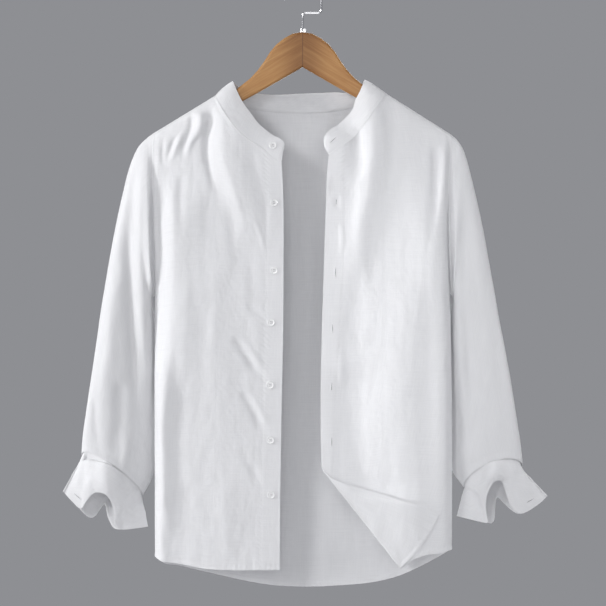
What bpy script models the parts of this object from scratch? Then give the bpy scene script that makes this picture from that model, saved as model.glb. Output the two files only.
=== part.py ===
"""A linen shirt with a mandarin collar, open down the front, on a wooden hanger.

Metres, +Z up. The shirt's front faces -Y. The origin is the point under the hook's crown
where the hanger bears on what holds it. "left" and "right" are the viewer's, seen from the front.
"""

import math

import bmesh
import bpy
import numpy as np
from mathutils import Vector

MM = 0.001

# Walls and the gaps between neighbouring pieces
CLOTH = 1.6 * MM
BAND = 2.0 * MM
SEAM_GAP = 0.3 * MM
COLLAR_GAP = 0.5 * MM

# Body: the ridge is the line over which the cloth hangs, straight from neck point to shoulder tip
SHOULDER_ROUND = 60 * MM
SECTION_POWER = 2.2
ARMHOLE_SHARE = 0.384
ARMHOLE_OPEN = 0.5
ROWS_ABOVE_ARMPIT = 13
ROWS_BELOW_ARMPIT = 13
ROW_CROWDING = 1.7
NECK_COLUMNS = 9
SHOULDER_COLUMNS = 10
BACK_NECK_COLUMNS = 6
BACK_SHOULDER_COLUMNS = 8

# Turned-back corner of the right front
FLAP_ROLL = 2 * MM
FLAP_ROWS = 10
FLAP_ROLL_ROWS = 4
FLAP_SAG = 7 * MM

SLEEVE_SIDES = 20
SLEEVE_RINGS = 20
SLEEVE_CUT_RING = 11
SLEEVE_CUT_GAP = 0.7 * MM
CUFF_TUCK = 5 * MM
CUFF_INSET = 3 * MM
CUFF_ROWS = 5
CUFF_BULGE = 4 * MM

BUTTON_RADIUS = 5.8 * MM
BUTTON_THICKNESS = 2.2 * MM
BUTTON_CLEARANCE = 0.5 * MM
BUTTON_SIDES = 14

WIRE_RADIUS = 2 * MM
HOOK_BEND = 28.6 * MM
BOARD_THICKNESS = 12 * MM
BOARD_BEVEL = 3.5 * MM
BOARD_UNDER_SEAM = 2.8 * MM
BOARD_UNDER_TIP = 5.4 * MM
BOARD_TIP = 217 * MM

WHITE_LINEN = (0.80, 0.80, 0.81, 1)
BUTTON_WHITE = (0.85, 0.85, 0.84, 1)
WOOD = (0.42, 0.22, 0.10, 1)
STEEL = (0.75, 0.75, 0.76, 1)


def table(columns, rows):
    """Named columns of a table in millimetres, as arrays in metres."""
    return dict(zip(columns.split(), np.array(rows, float).T * MM))


# Neck points and shoulder tips, by side
SHOULDER = {
    -1: dict(neck_x=134 * MM, neck_z=-184 * MM, tip_x=227 * MM, tip_z=-240.5 * MM),
    1: dict(neck_x=128 * MM, neck_z=-180.5 * MM, tip_x=227 * MM, tip_z=-243 * MM),
}

# How far the front and the back stand off the plane of the hanger, down the body
FULLNESS = table("z front back", [
    (-180, 46, 34),
    (-400, 46, 37),
    (-650, 41, 34),
    (-940, 35, 30),
])

# Distance of each side seam from the middle, down the body
SIDE = table("z left right", [
    (-242, 227, 227),
    (-300, 227, 223.5),
    (-488, 226.2, 225.5),
    (-650, 226.2, 228),
    (-940, 225.5, 228),
])

# Front edges, down the body
EDGE = table("z left right", [
    (-276, 32.6, 39.8),
    (-303, 31, 37.3),
    (-343, 29.4, 35.8),
    (-434, 29.1, 32.7),
    (-530, 29.5, 29.7),
    (-649, 31.8, 27.5),
    (-745, 33.4, 28.8),
    (-907, 35, 46),
    (-941, 35.2, 49.6),
])

# Necklines: distance from the middle and height
NECK = {
    -1: table("x z", [(32.6, -286.4), (44.4, -280.7), (62, -265.4), (86, -250), (105.6, -230.4),
                      (120.9, -208.4), (134, -184)]),
    1: table("x z", [(39.8, -275.7), (51, -268), (60.3, -261), (78, -248), (95.5, -226),
                     (110.8, -203.8), (128, -180.5)]),
}
HEM_LEVEL = -900 * MM
BACK_NECK_LOW = -208.4 * MM
BACK_NECK_POWER = 2.5

# Hems, by x across the whole front view
BACK_HEM = table("x z", [
    (-226.2, -887), (-218, -895.5), (-190, -903), (-160, -910.5), (-124, -919), (-94, -926),
    (-50, -933.6), (0, -936.5), (63, -934), (116, -928), (149, -919), (178, -906), (204, -892),
    (228, -877),
])
LEFT_HEM = table("x z", [(-226.2, -887), (-218, -893), (-200, -896.5), (-180, -899.5),
                         (-149, -905.3), (-119, -906.8), (-35, -906.7)])
RIGHT_HEM = table("x z", [(49.6, -941.2), (75, -936), (100, -928.5), (149.5, -903.4),
                          (168.8, -890), (190, -883.5), (214, -880.5), (228, -877)])

# The line about which the right front's corner is turned back, from the edge to the hem
FOLD_START = np.array((28.8, -745.3)) * MM
FOLD_END = np.array((149.5, -903.4)) * MM
CORNER = np.array((49.6, -941.2)) * MM

# Folds: a ridge where height is above 0, a trough below it, along x at its top, middle and foot
FOLD_FADE = 0.7
FOLD_COLUMNS = "top_x mid_x foot_x top_z foot_z height width"
FRONT_FOLDS = table(FOLD_COLUMNS, [
    (-134, -132, -104, -190, -360, 8, 11),
    (-148, -150, -156, -196, -290, -6, 8),
    (-84, -74, -60, -270, -400, -6, 12),
    (-170, -178, -180, -214, -300, 4, 6),
    (-196, -200, -206, -230, -310, -4, 7),
    (-200, -198, -200, -270, -620, 6, 14),
    (-165, -160, -165, -330, -760, -6, 17),
    (-120, -122, -118, -380, -850, 5, 20),
    (-80, -70, -62, -560, -900, -3, 14),
    (-195, -190, -188, -640, -880, -5, 16),
    (98, 96, 72, -190, -400, 9, 12),
    (126, 139, 118, -196, -390, -8, 12),
    (74, 82, 90, -262, -318, -7, 9),
    (160, 156, 150, -212, -330, 4, 9),
    (195, 206, 218, -240, -330, 4, 9),
    (180, 176, 190, -260, -520, -5, 14),
    (104, 136, 172, -390, -740, 6, 22),
    (72, 96, 130, -470, -800, -7, 16),
    (200, 198, 196, -560, -860, -5, 14),
])
BACK_FOLDS = table(FOLD_COLUMNS, [
    (-150, -158, -166, -200, -420, 5, 12),
    (-118, -112, -100, -215, -470, -6, 13),
    (-66, -70, -76, -225, -560, 5, 18),
    (-20, -14, -12, -230, -700, -5, 16),
    (28, 34, 44, -226, -620, 5, 16),
    (92, 96, 92, -215, -480, -6, 13),
    (140, 150, 160, -205, -440, 5, 12),
    (-180, -176, -172, -420, -880, -5, 15),
    (-130, -128, -134, -520, -900, 5, 18),
    (-70, -78, -84, -600, -925, -4, 17),
    (70, 76, 84, -520, -925, 4, 18),
    (120, 118, 110, -560, -915, -5, 17),
    (178, 174, 176, -430, -880, 5, 15),
])

# Sleeves: a row for each section. Outer is the top of the sleeve, inner the underarm; front and
# back are how far the section bulges from the line between them, and lift raises its front half
SLEEVE_COLUMNS = "outer_x outer_z inner_x inner_z outer_y inner_y front back lift"
SLEEVE = {
    -1: table(SLEEVE_COLUMNS, [
        (235.5, -246.5, 229.5, -494, 1, 4, 19, 16, 0),
        (248, -258, 229.5, -502, 2, 9, 22, 19, 0),
        (258, -275, 229, -513, 3, 15, 24, 22, 0),
        (267.8, -303, 227, -528, 4, 21, 25, 24, 0),
        (278.8, -350, 224, -549, 4, 26, 26, 26, 0),
        (290, -404, 222, -578, 4, 29, 26, 27, 0),
        (300.8, -465, 221.5, -614, 4, 30, 25, 27, 0),
        (309.5, -520, 221.5, -650, 4, 30, 24, 26, 2),
        (320, -592, 222, -690, 4, 29, 23, 25, 5),
        (331, -665, 225, -730, 4, 26, 22, 23, 9),
        (336.5, -705, 229.5, -765, 5, 22, 21, 21, 14),
        (338.5, -733, 245, -795, 6, 16, 19, 18, 18),
    ]),
    1: table(SLEEVE_COLUMNS, [
        (235, -250, 229.5, -491, 1, 4, 19, 16, 0),
        (242.5, -260, 229.5, -499, 2, 9, 22, 19, 0),
        (249, -275, 229, -510, 3, 15, 24, 22, 0),
        (257, -304, 227, -525, 4, 21, 25, 24, 0),
        (268, -350, 225.5, -546, 4, 26, 26, 26, 0),
        (279, -404, 224.5, -575, 4, 29, 26, 27, 0),
        (290, -465, 224, -611, 4, 30, 25, 27, 0),
        (299.5, -520, 224, -648, 4, 30, 24, 26, 3),
        (313.5, -592, 225, -690, 4, 29, 23, 25, 7),
        (325.5, -665, 227.5, -728, 4, 26, 22, 23, 13),
        (333, -715, 230.5, -760, 5, 22, 21, 21, 20),
        (337, -752, 246.5, -783, 6, 16, 19, 18, 25),
    ]),
}

# Sleeve folds: their place from the top of the sleeve (0) to the underarm (1) at head, middle and
# end, the shares of the sleeve's length between which they run, height in millimetres and width
SLEEVE_FOLDS = [
    # head, middle, end, start, stop, height, width
    (0.26, 0.30, 0.42, 0.06, 0.56, 5, 0.07),
    (0.45, 0.48, 0.56, 0.20, 0.72, -5, 0.08),
    (0.64, 0.64, 0.70, 0.10, 0.66, 4, 0.08),
    (0.25, 0.24, 0.26, 0.48, 0.98, -4, 0.08),
    (0.80, 0.78, 0.76, 0.30, 0.90, -4, 0.07),
]

# Collar: where the band leaves the neckline, and where its top edge is above that
COLLAR_COLUMNS = "seam_x top_x top_y top_z"
COLLAR_FRONT = {
    -1: table(COLLAR_COLUMNS, [
        (33.6, 28.6, -35, -264), (39, 28.4, -34.5, -257.5), (47, 32.5, -34, -252),
        (62, 46, -31, -244.5), (86, 66.7, -26.5, -227.5), (105.6, 80.5, -20, -210),
        (120.9, 93.5, -12.5, -190.3), (128.5, 100.5, -9.8, -176), (134, 106.3, -2, -162.4),
    ]),
    1: table(COLLAR_COLUMNS, [
        (40.6, 32.2, -35, -261), (44.5, 32.2, -34.5, -251.5), (51, 35.5, -34, -243.5),
        (60.3, 42, -31, -236.5), (78, 55, -26.5, -228), (95.5, 75.5, -20, -206.5),
        (110.8, 82, -12.5, -189), (121, 89.5, -10, -172.5), (128, 94.6, -2, -159.4),
    ]),
}
COLLAR_BACK = table(COLLAR_COLUMNS, [
    (-134, -106.3, -2, -162.4), (-117, -98, 9.8, -169), (-92, -79, 13, -177.5),
    (-57, -52, 16, -181), (0, 0, 18, -179.2), (52, 48, 16, -177.6), (88, 70, 13, -177.5),
    (112, 88, 9.8, -168.5), (128, 94.6, -2, -159.4),
])
COLLAR_ROWS = 4

# Cuffs: the lower rim, out from the corner where the band's ends part, along the front layer to
# the other corner, and back along the rear layer
CUFF_COLUMNS = "x y z"
CUFF_FRONT_RIM = {
    -1: table(CUFF_COLUMNS, [
        (-367, -2, -789), (-353, -6, -804), (-340, -9, -815), (-330, -13, -803),
        (-321, -15, -792.5), (-312, -15.5, -789), (-301, -14, -791), (-292, -12, -802),
        (-288, -10, -820), (-286, -9, -839), (-277, -8, -847), (-258, -6, -846), (-237, 0, -843),
    ]),
    1: table(CUFF_COLUMNS, [
        (375, -2, -796), (362, -6, -808), (343, -9, -820), (330, -10, -822), (317, -12, -808),
        (310.5, -13, -788), (306, -14.5, -774), (298, -15.5, -769), (288, -14, -774.5),
        (281, -12, -795), (280.5, -10, -817), (284, -9, -835), (272, -7, -835.5), (236, 0, -827),
    ]),
}
CUFF_BACK_RIM = {
    -1: table(CUFF_COLUMNS, [
        (-237, 0, -843), (-256, 7, -845), (-276, 10, -848), (-290, 12, -846), (-299, 15, -830),
        (-304, 17, -810), (-312, 16, -819), (-319, 13, -828), (-327, 11, -830), (-337, 8, -822),
        (-349, 6, -808), (-367, 2, -789),
    ]),
    1: table(CUFF_COLUMNS, [
        (236, 0, -827), (264, 6, -832), (283, 9, -837), (291, 11, -838), (295, 13, -830),
        (296, 16, -812), (299, 17, -799), (309, 14, -808), (321, 11, -819), (331, 9, -824),
        (344, 8, -819), (362, 5, -807), (375, 2, -795.5),
    ]),
}
CUFF_Y = 9 * MM
CUFF_COLUMNS_EACH = 12

# Buttons down the left front, and their places on the other pieces
FRONT_BUTTONS = table("x z", [(-44, -348), (-43, -452), (-47, -531), (-49, -625), (-48, -709),
                              (-47, -792)])
COLLAR_BUTTON_X = 53 * MM
COLLAR_BUTTON_SHARE = 0.5

# Wooden board: half of its outline, out from the middle
BOARD_TOP = table("x z", [(0, -86), (15, -88.5), (28, -95.5), (40, -105), (50, -117), (58, -130),
                          (68, -144), (80, -157), (92, -166.5), (101, -173.5), (134, -193)])
BOARD_FOOT = table("x z", [(0, -140), (60, -174.5), (90, -191)])
BOARD_SEATED_FROM = 165 * MM
BOARD_ARM_DEPTH = 17 * MM
FERRULE_SIDES = 16
FERRULE_RADIUS = 4.6 * MM
FERRULE_FOOT = -85.7 * MM
FERRULE_TOP = -80.5 * MM
JOG_Z = -56.6 * MM


def spline(at, knots, values):
    """A smooth curve through a table's column."""
    knots = np.asarray(knots, float)
    values = np.asarray(values, float)
    if knots[0] > knots[-1]:
        knots = knots[::-1]
        values = values[::-1]
    slopes = np.gradient(values, knots)
    at = np.clip(at, knots[0], knots[-1])
    i = np.clip(np.searchsorted(knots, at) - 1, 0, len(knots) - 2)
    span = knots[i + 1] - knots[i]
    t = (at - knots[i]) / span
    ease = t * t * (3 - 2 * t)
    return (values[i] * (1 - ease) + values[i + 1] * ease
            + span * t * (1 - t) * ((1 - t) * slopes[i] - t * slopes[i + 1]))


def by_side(x, left, right):
    return np.where(np.asarray(x) < 0, left, right)


def ridge_slope(side):
    s = SHOULDER[side]
    return (s["neck_z"] - s["tip_z"]) / (s["tip_x"] - s["neck_x"])


def ridge_z(x):
    """Height of the straight line over which the cloth hangs."""
    heights = [SHOULDER[side]["neck_z"] - (np.abs(x) - SHOULDER[side]["neck_x"]) * ridge_slope(side)
               for side in (-1, 1)]
    return by_side(x, *heights)


def side_x(side, z):
    return side * spline(z, SIDE["z"], SIDE["left" if side < 0 else "right"])


def edge_x(side, z):
    return side * spline(z, EDGE["z"], EDGE["left" if side < 0 else "right"])


def hem_z(side, face, x=None):
    """Height of the hem of the back (face 1) or a front (face -1), by default at the side seam."""
    hem = BACK_HEM if face > 0 else (LEFT_HEM if side < 0 else RIGHT_HEM)
    if x is None:
        x = side * SIDE["left"][0]
    return spline(x, hem["x"], hem["z"])


def armpit_z(side):
    tip_z = SHOULDER[side]["tip_z"]
    return tip_z + ARMHOLE_SHARE * (hem_z(side, 1) - tip_z)


def armhole_share(side, z):
    """How much of the body's depth is left at the side: open at the armhole, none below it."""
    tip_z = SHOULDER[side]["tip_z"]
    down = np.clip((tip_z - z) / (tip_z - armpit_z(side)), 0, 1)
    return ARMHOLE_OPEN * np.sqrt(1 - down * down)


def fullness(x, z, face):
    drop = np.maximum(ridge_z(x) - z, 0)
    depth = spline(z, FULLNESS["z"], FULLNESS["front" if face < 0 else "back"])
    return depth * np.sqrt(drop / (drop + SHOULDER_ROUND))


def relief(x, z, folds):
    """Sum of the ridges and troughs of a table of folds."""
    total = np.zeros(np.shape(x))
    for row in range(len(folds["top_x"])):
        fold = {name: column[row] for name, column in folds.items()}
        t = (fold["top_z"] - z) / (fold["top_z"] - fold["foot_z"])
        middle = (fold["top_x"] * (1 - t) * (1 - 2 * t) + fold["mid_x"] * 4 * t * (1 - t)
                  + fold["foot_x"] * t * (2 * t - 1))
        fade = np.sin(math.pi * np.clip(t, 0, 1)) ** FOLD_FADE
        total += fold["height"] * fade * np.exp(-(((x - middle) / fold["width"]) ** 2))
    return total


def panel_y(x, z, face):
    """Depth of the front (face -1) or the back (face 1) at a place in the front view."""
    x, z = np.broadcast_arrays(np.asarray(x, float), np.asarray(z, float))
    share = by_side(x, armhole_share(-1, z), armhole_share(1, z))
    side = by_side(x, -side_x(-1, z), side_x(1, z))
    across = np.clip(np.abs(x) / side, 0, 1)
    full = fullness(x, z, face)
    section = 1 - across**SECTION_POWER * (1 - share**SECTION_POWER)
    depth = full * np.clip(section, 0, 1) ** (1 / SECTION_POWER)
    folds = relief(x, z, FRONT_FOLDS if face < 0 else BACK_FOLDS)
    settled = np.clip(full / (25 * MM), 0, 1) * (1 - across**8)
    return face * (SEAM_GAP / 2 + depth + folds * settled)


def panel_normal(x, z, face, step=0.5 * MM):
    """Unit vector out of the cloth, from the slopes of panel_y."""
    slope_x = (panel_y(x + step, z, face) - panel_y(x - step, z, face)) / (2 * step)
    slope_z = (panel_y(x, z + step, face) - panel_y(x, z - step, face)) / (2 * step)
    normal = face * np.stack([-slope_x, np.ones_like(slope_x), -slope_z], axis=-1)
    return normal / np.linalg.norm(normal, axis=-1, keepdims=True)


def unit(vectors):
    return vectors / np.maximum(np.linalg.norm(vectors, axis=-1, keepdims=True), 1e-12)


def top_z(side, face, x):
    """Height of a panel's upper boundary: its neckline, then the shoulder seam."""
    neck_x = SHOULDER[side]["neck_x"]
    away = np.abs(x)
    if face < 0:
        neck = spline(away, NECK[side]["x"], NECK[side]["z"])
    else:
        rise = SHOULDER[side]["neck_z"] - BACK_NECK_LOW
        neck = BACK_NECK_LOW + rise * np.minimum(away / neck_x, 1) ** BACK_NECK_POWER
    return np.where(away < neck_x - 1e-6, neck, ridge_z(x))


def row_shares():
    """Shares of a column's height: close together at the shoulder, one row at the armpit."""
    upper = ARMHOLE_SHARE * np.linspace(0, 1, ROWS_ABOVE_ARMPIT + 1) ** ROW_CROWDING
    lower = np.linspace(ARMHOLE_SHARE, 1, ROWS_BELOW_ARMPIT + 1)
    return np.concatenate([upper, lower[1:]])


def column_shares(start, neck, before, after):
    """Shares of a panel's width: even to the neck point, then closer towards the side."""
    inner = np.linspace(start, neck, before + 1)
    outer = neck + (1 - neck) * np.sin(np.linspace(0, math.pi / 2, after + 1))
    return np.concatenate([inner, outer[1:]])


def point_normals(points, quads):
    """Unit normals of the points of a mesh, from the quads around each."""
    normals = np.zeros_like(points)
    a, b, c, d = (points[quads[:, k]] for k in range(4))
    across = np.cross(c - a, d - b)
    for k in range(4):
        np.add.at(normals, quads[:, k], across)
    return unit(normals)


def sheet(name, grid, wall, material, wrap=False, fixed=()):
    """A closed wall of even thickness about a grid of points. Fixed holds rows or columns of the
    grid, each with the directions in which its points go to the outer face of the wall."""
    points = grid.reshape(-1, 3)
    _, first, index = np.unique(np.round(points, 8), axis=0, return_index=True, return_inverse=True)
    index = index.reshape(grid.shape[:2])
    here = index if wrap else index[:-1]
    ahead = np.roll(index, -1, axis=0) if wrap else index[1:]
    quads = np.stack([here[:, :-1], ahead[:, :-1], ahead[:, 1:], here[:, 1:]], axis=-1).reshape(-1, 4)
    middle = points[first]
    normals = point_normals(middle, quads)
    if any((normals[index[place]] * out).sum() < 0 for place, out in fixed):
        normals = -normals
    for place, out in fixed:
        normals[index[place]] = out
    count = len(middle)
    offset = normals * wall / 2
    mesh = bmesh.new()
    corners = [mesh.verts.new(point) for point in np.concatenate([middle + offset, middle - offset])]
    edges = set()
    for quad in quads:
        ring = [k for n, k in enumerate(quad) if k != quad[n - 1]]
        if len(ring) < 3:
            continue
        mesh.faces.new([corners[k] for k in ring])
        mesh.faces.new([corners[k + count] for k in reversed(ring)])
        edges.update(zip(ring, ring[1:] + ring[:1]))
    for a, b in edges:
        if (b, a) not in edges:
            mesh.faces.new([corners[k] for k in (b, a, a + count, b + count)])
    bmesh.ops.recalc_face_normals(mesh, faces=mesh.faces)
    return finish(name, mesh, material)


def finish(name, mesh, material):
    data = bpy.data.meshes.new(name)
    mesh.to_mesh(data)
    mesh.free()
    data.shade_smooth()
    data.set_sharp_from_angle(angle=math.radians(50))
    data.materials.append(material)
    shape = bpy.data.objects.new(name, data)
    bpy.context.scene.collection.objects.link(shape)
    return shape


def paint(name, colour, roughness, metallic=0.0):
    material = bpy.data.materials.new(name)
    material.use_nodes = True
    shader = material.node_tree.nodes["Principled BSDF"]
    shader.inputs["Base Color"].default_value = colour
    shader.inputs["Roughness"].default_value = roughness
    shader.inputs["Metallic"].default_value = metallic
    return material


def seam_directions(side, x, z, face, on_seam):
    """Out of the cloth along an upper boundary, square to the shoulder seam where it is on it."""
    square = unit(np.array((side * ridge_slope(side), 0, 1)))
    return np.where(on_seam[:, None], square, panel_normal(x, z, face))


def side_directions(side, x, z, face):
    """Out of the cloth down a side: in the armhole's plane, then straight out at the seam."""
    directions = unit(panel_normal(x, z, face) * np.array((0, 1, 1)))
    directions[z <= armpit_z(side) + 0.1 * MM] = (side, 0, 0)
    directions[0] = (0, 0, 1)
    return directions


def front_shares(side):
    """Shares of a front's width, one at the neck point and one at the foot of the fold."""
    s = SHOULDER[side]
    edge = abs(edge_x(side, NECK[side]["z"][0]))
    shares = column_shares(0, (s["neck_x"] - edge) / (s["tip_x"] - edge), NECK_COLUMNS,
                           SHOULDER_COLUMNS)
    if side > 0:
        foot = fold_share(FOLD_END)
        shares[np.argmin(np.abs(shares - foot))] = foot
    return shares


def fold_share(point):
    """Share of the right front's width at which a point lies."""
    x, z = point
    return float((x - edge_x(1, z)) / (side_x(1, z) - edge_x(1, z)))


def fold_crossing(share):
    """Where a column of the right front crosses the line of the turned-back corner."""
    low, high = 0.0, 1.0
    for _ in range(40):
        middle = (low + high) / 2
        if fold_share(FOLD_START + middle * (FOLD_END - FOLD_START)) < share:
            low = middle
        else:
            high = middle
    return FOLD_START + low * (FOLD_END - FOLD_START)


def front_grid(side):
    """Points of a front, down to its hem or to the line where its corner turns."""
    columns = []
    for share in front_shares(side):
        start = edge_x(side, NECK[side]["z"][0])
        top_x = start + (side * SHOULDER[side]["tip_x"] - start) * share
        foot_edge = edge_x(side, HEM_LEVEL)
        foot_x = foot_edge + (side_x(side, HEM_LEVEL) - foot_edge) * share
        foot_z = hem_z(side, -1, foot_x)
        if side > 0 and share < fold_share(FOLD_END) + 1e-9:
            foot_z = fold_crossing(share)[1]
        head_z = top_z(side, -1, top_x)
        z = head_z + (foot_z - head_z) * row_shares()
        x = edge_x(side, z) + (side_x(side, z) - edge_x(side, z)) * share
        columns.append(np.stack([x, panel_y(x, z, -1), z], axis=-1))
    return np.array(columns)


def turned_corner(columns, shares):
    """Rows beyond the fold line, rolled about it and laid back over the front."""
    along = unit(FOLD_END - FOLD_START)
    beyond = np.array((along[1], -along[0])) * np.sign(np.cross(CORNER - FOLD_START, along))
    foot_share = fold_share(FOLD_END)
    rolled = math.pi * FLAP_ROLL
    turned = []
    for column, share in zip(columns, shares):
        if share > foot_share - 1e-9:
            turned.append(np.repeat(column[-1:], FLAP_ROWS, axis=0))
            continue
        start = fold_crossing(share)
        end_x = CORNER[0] + (FOLD_END[0] - CORNER[0]) * share / foot_share
        end = np.array((end_x, float(hem_z(1, -1, end_x))))
        reach = np.dot(end - start, beyond)
        tight = np.linspace(0, 1, FLAP_ROLL_ROWS + 1)[1:] * min(rolled, reach * 0.4)
        loose = np.linspace(tight[-1], reach, FLAP_ROWS - FLAP_ROLL_ROWS + 1)[1:]
        points = []
        for distance in np.concatenate([tight, loose]):
            foot = start + (end - start) * distance / reach - beyond * distance
            turn = min(distance / FLAP_ROLL, math.pi)
            place = foot + beyond * (FLAP_ROLL * math.sin(turn) - max(distance - rolled, 0))
            place[1] -= FLAP_SAG * (1 - share / foot_share) ** 2 * math.sin(math.pi * distance / reach)
            lift = FLAP_ROLL * (1 - math.cos(turn))
            points.append((place[0], float(panel_y(*place, -1)) - lift, place[1]))
        turned.append(points)
    return np.array(turned)


def make_front(side, material):
    grid = front_grid(side)
    shares = front_shares(side)
    on_seam = shares > shares[NECK_COLUMNS] - 1e-9
    top, end = grid[:, 0], grid[-1]
    fixed = [
        ((slice(None), 0), seam_directions(side, top[:, 0], top[:, 2], -1, on_seam)),
        ((-1, slice(0, len(end))), side_directions(side, end[:, 0], end[:, 2], -1)),
    ]
    if side > 0:
        grid = np.concatenate([grid, turned_corner(grid, shares)], axis=1)
    return sheet("front_left" if side < 0 else "front_right", grid, CLOTH, material, fixed=fixed)


def back_shares():
    """Shares of the back's width, from the left side (-1) to the right (1)."""
    halves = []
    for side in (-1, 1):
        s = SHOULDER[side]
        neck = s["neck_x"] / s["tip_x"]
        halves.append(side * column_shares(0, neck, BACK_NECK_COLUMNS, BACK_SHOULDER_COLUMNS))
    return np.concatenate([halves[0][:0:-1], halves[1]])


def back_neck_places():
    """Where the back's columns meet its neckline, from neck point to neck point."""
    shares = back_shares()
    middle = len(shares) // 2
    inner = shares[middle - BACK_NECK_COLUMNS:middle + BACK_NECK_COLUMNS + 1]
    return inner * by_side(inner, SHOULDER[-1]["tip_x"], SHOULDER[1]["tip_x"])


def make_back(material):
    columns = []
    shares = back_shares()
    sides = np.where(shares < 0, -1, 1)
    for share, side in zip(np.abs(shares), sides):
        head_z = top_z(side, 1, share * SHOULDER[side]["tip_x"])
        foot_z = hem_z(side, 1, share * side_x(side, HEM_LEVEL))
        z = head_z + (foot_z - head_z) * row_shares()
        x = share * side_x(side, z)
        columns.append(np.stack([x, panel_y(x, z, 1), z], axis=-1))
    grid = np.array(columns)
    top = grid[:, 0]
    fixed = []
    for side, last in ((-1, 0), (1, -1)):
        own = np.flatnonzero(sides == side)
        on_seam = np.abs(top[own, 0]) > SHOULDER[side]["neck_x"] - 0.01 * MM
        fixed.append(((own, 0), seam_directions(side, top[own, 0], top[own, 2], 1, on_seam)))
        fixed.append(((last, slice(None)), side_directions(side, grid[last, :, 0], grid[last, :, 2], 1)))
    return sheet("back", grid, CLOTH, material, fixed=fixed)


def armhole_ring(side, angles):
    """The sleeve's first section, beside the body's armhole."""
    tip_z = SHOULDER[side]["tip_z"]
    down = (1 - np.cos(angles)) / 2
    z = tip_z + (armpit_z(side) - tip_z) * down
    x = side_x(side, z)
    front = panel_y(x, z, -1)
    back = panel_y(x, z, 1)
    y = np.where(np.sin(angles) > 1e-6, front, np.where(np.sin(angles) < -1e-6, back, 0))
    closing = 1 - armhole_share(side, z) / ARMHOLE_OPEN
    return np.stack([x + side * (SEAM_GAP + CLOTH / 2 * closing), y, z], axis=-1)


def sleeve_ring(side, length, angles):
    """A section of the sleeve at a share of its length, from its top (angle 0) round the front."""
    rows = SLEEVE[side]
    stations = np.linspace(0, 1, len(rows["outer_x"]))
    row = {name: spline(length, stations, column) for name, column in rows.items()}
    across = (1 - np.cos(angles)) / 2
    swing = np.sin(angles)
    x = side * (row["outer_x"] + (row["inner_x"] - row["outer_x"]) * across)
    z = row["outer_z"] + (row["inner_z"] - row["outer_z"]) * across + row["lift"] * np.maximum(swing, 0)
    y = row["outer_y"] + (row["inner_y"] - row["outer_y"]) * across
    bulge = np.where(swing > 0, row["front"], row["back"]) + sleeve_folds(length, across)
    return np.stack([x, y - bulge * swing, z], axis=-1)


def sleeve_folds(length, across):
    """Ridges and troughs down the sleeve, alike on its front and its back."""
    total = np.zeros(np.shape(across))
    for head, middle, end, start, stop, height, width in SLEEVE_FOLDS:
        t = (length - start) / (stop - start)
        if 0 < t < 1:
            place = head * (1 - t) * (1 - 2 * t) + middle * 4 * t * (1 - t) + end * t * (2 * t - 1)
            fade = math.sin(math.pi * t) ** FOLD_FADE
            total += height * MM * fade * np.exp(-(((across - place) / width) ** 2))
    return total


def make_sleeve(side, material):
    """A sleeve as two tubes, the second from the forearm down."""
    angles = np.arange(SLEEVE_SIDES) * 2 * math.pi / SLEEVE_SIDES
    rings = [armhole_ring(side, angles)]
    rings += [sleeve_ring(side, length, angles) for length in np.linspace(0, 1, SLEEVE_RINGS)]
    x, z = rings[0][:, 0] - side * SEAM_GAP, rings[0][:, 2]
    out = np.where(np.sin(angles)[:, None] > 0, panel_normal(x, z, -1), panel_normal(x, z, 1))
    out = unit(out * np.array((0, 1, 1)))
    out[0] = (0, 0, 1)
    out[SLEEVE_SIDES // 2] = (0, 0, -1)
    grid = np.array(rings).swapaxes(0, 1)
    cut = grid[:, SLEEVE_CUT_RING]
    around = np.roll(cut, -1, axis=0) - np.roll(cut, 1, axis=0)
    down = unit(grid[:, SLEEVE_CUT_RING + 1] - grid[:, SLEEVE_CUT_RING - 1])
    square = unit(np.cross(around, down))
    square *= np.sign((square * (cut - cut.mean(axis=0))).sum())
    upper = grid[:, :SLEEVE_CUT_RING + 1]
    lower = grid[:, SLEEVE_CUT_RING:].copy()
    lower[:, 0] += down * SLEEVE_CUT_GAP
    name = "sleeve_left" if side < 0 else "sleeve_right"
    sheet(name, upper, CLOTH, material, wrap=True,
          fixed=[((slice(None), 0), out), ((slice(None), -1), square)])
    sheet(name + "_forearm", lower, CLOTH, material, wrap=True, fixed=[((slice(None), 0), square)])


def collar_seam(side, face, x):
    """A point of the neckline and the direction out of the cloth there."""
    z = float(top_z(side, face, x))
    if abs(x) > SHOULDER[side]["neck_x"] - 0.01 * MM:
        return np.array((x, 0, z)), unit(np.array((side * ridge_slope(side), 0, 1)))
    return np.array((x, float(panel_y(x, z, face)), z)), panel_normal(x, z, face)


def collar_stations():
    """Seam point, direction out of the cloth and top point, from the left end round to the right.
    The seam has the panels' own corners, and is straight between them, where stations are added."""
    stations = []
    for side in (-1, 1):
        seams = [collar_seam(side, -1, x) for x in front_grid(side)[:NECK_COLUMNS + 1, 0, 0]]
        stations.append(collar_run(seams, COLLAR_FRONT[side], side, {0: 3, NECK_COLUMNS - 1: 3}))
    seams = [collar_seam(-1 if x < 0 else 1, 1, x) for x in back_neck_places()]
    last = len(seams) - 2
    behind = collar_run(seams, COLLAR_BACK, 1, {0: 3, last: 3})
    return stations[0] + behind[1:-1] + stations[1][::-1]


def collar_run(seams, rows, side, divisions):
    """Stations along one stretch of neckline, with the divisions of its end segments."""
    run = []
    for n, (seam, out) in enumerate(seams[:-1]):
        parts = divisions.get(n, 1)
        for t in np.arange(parts) / parts:
            run.append((seam + (seams[n + 1][0] - seam) * t, unit(out + (seams[n + 1][1] - out) * t)))
    run.append(seams[-1])
    return [(seam, out, collar_top(rows, side, seam[0])) for seam, out in run]


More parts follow.
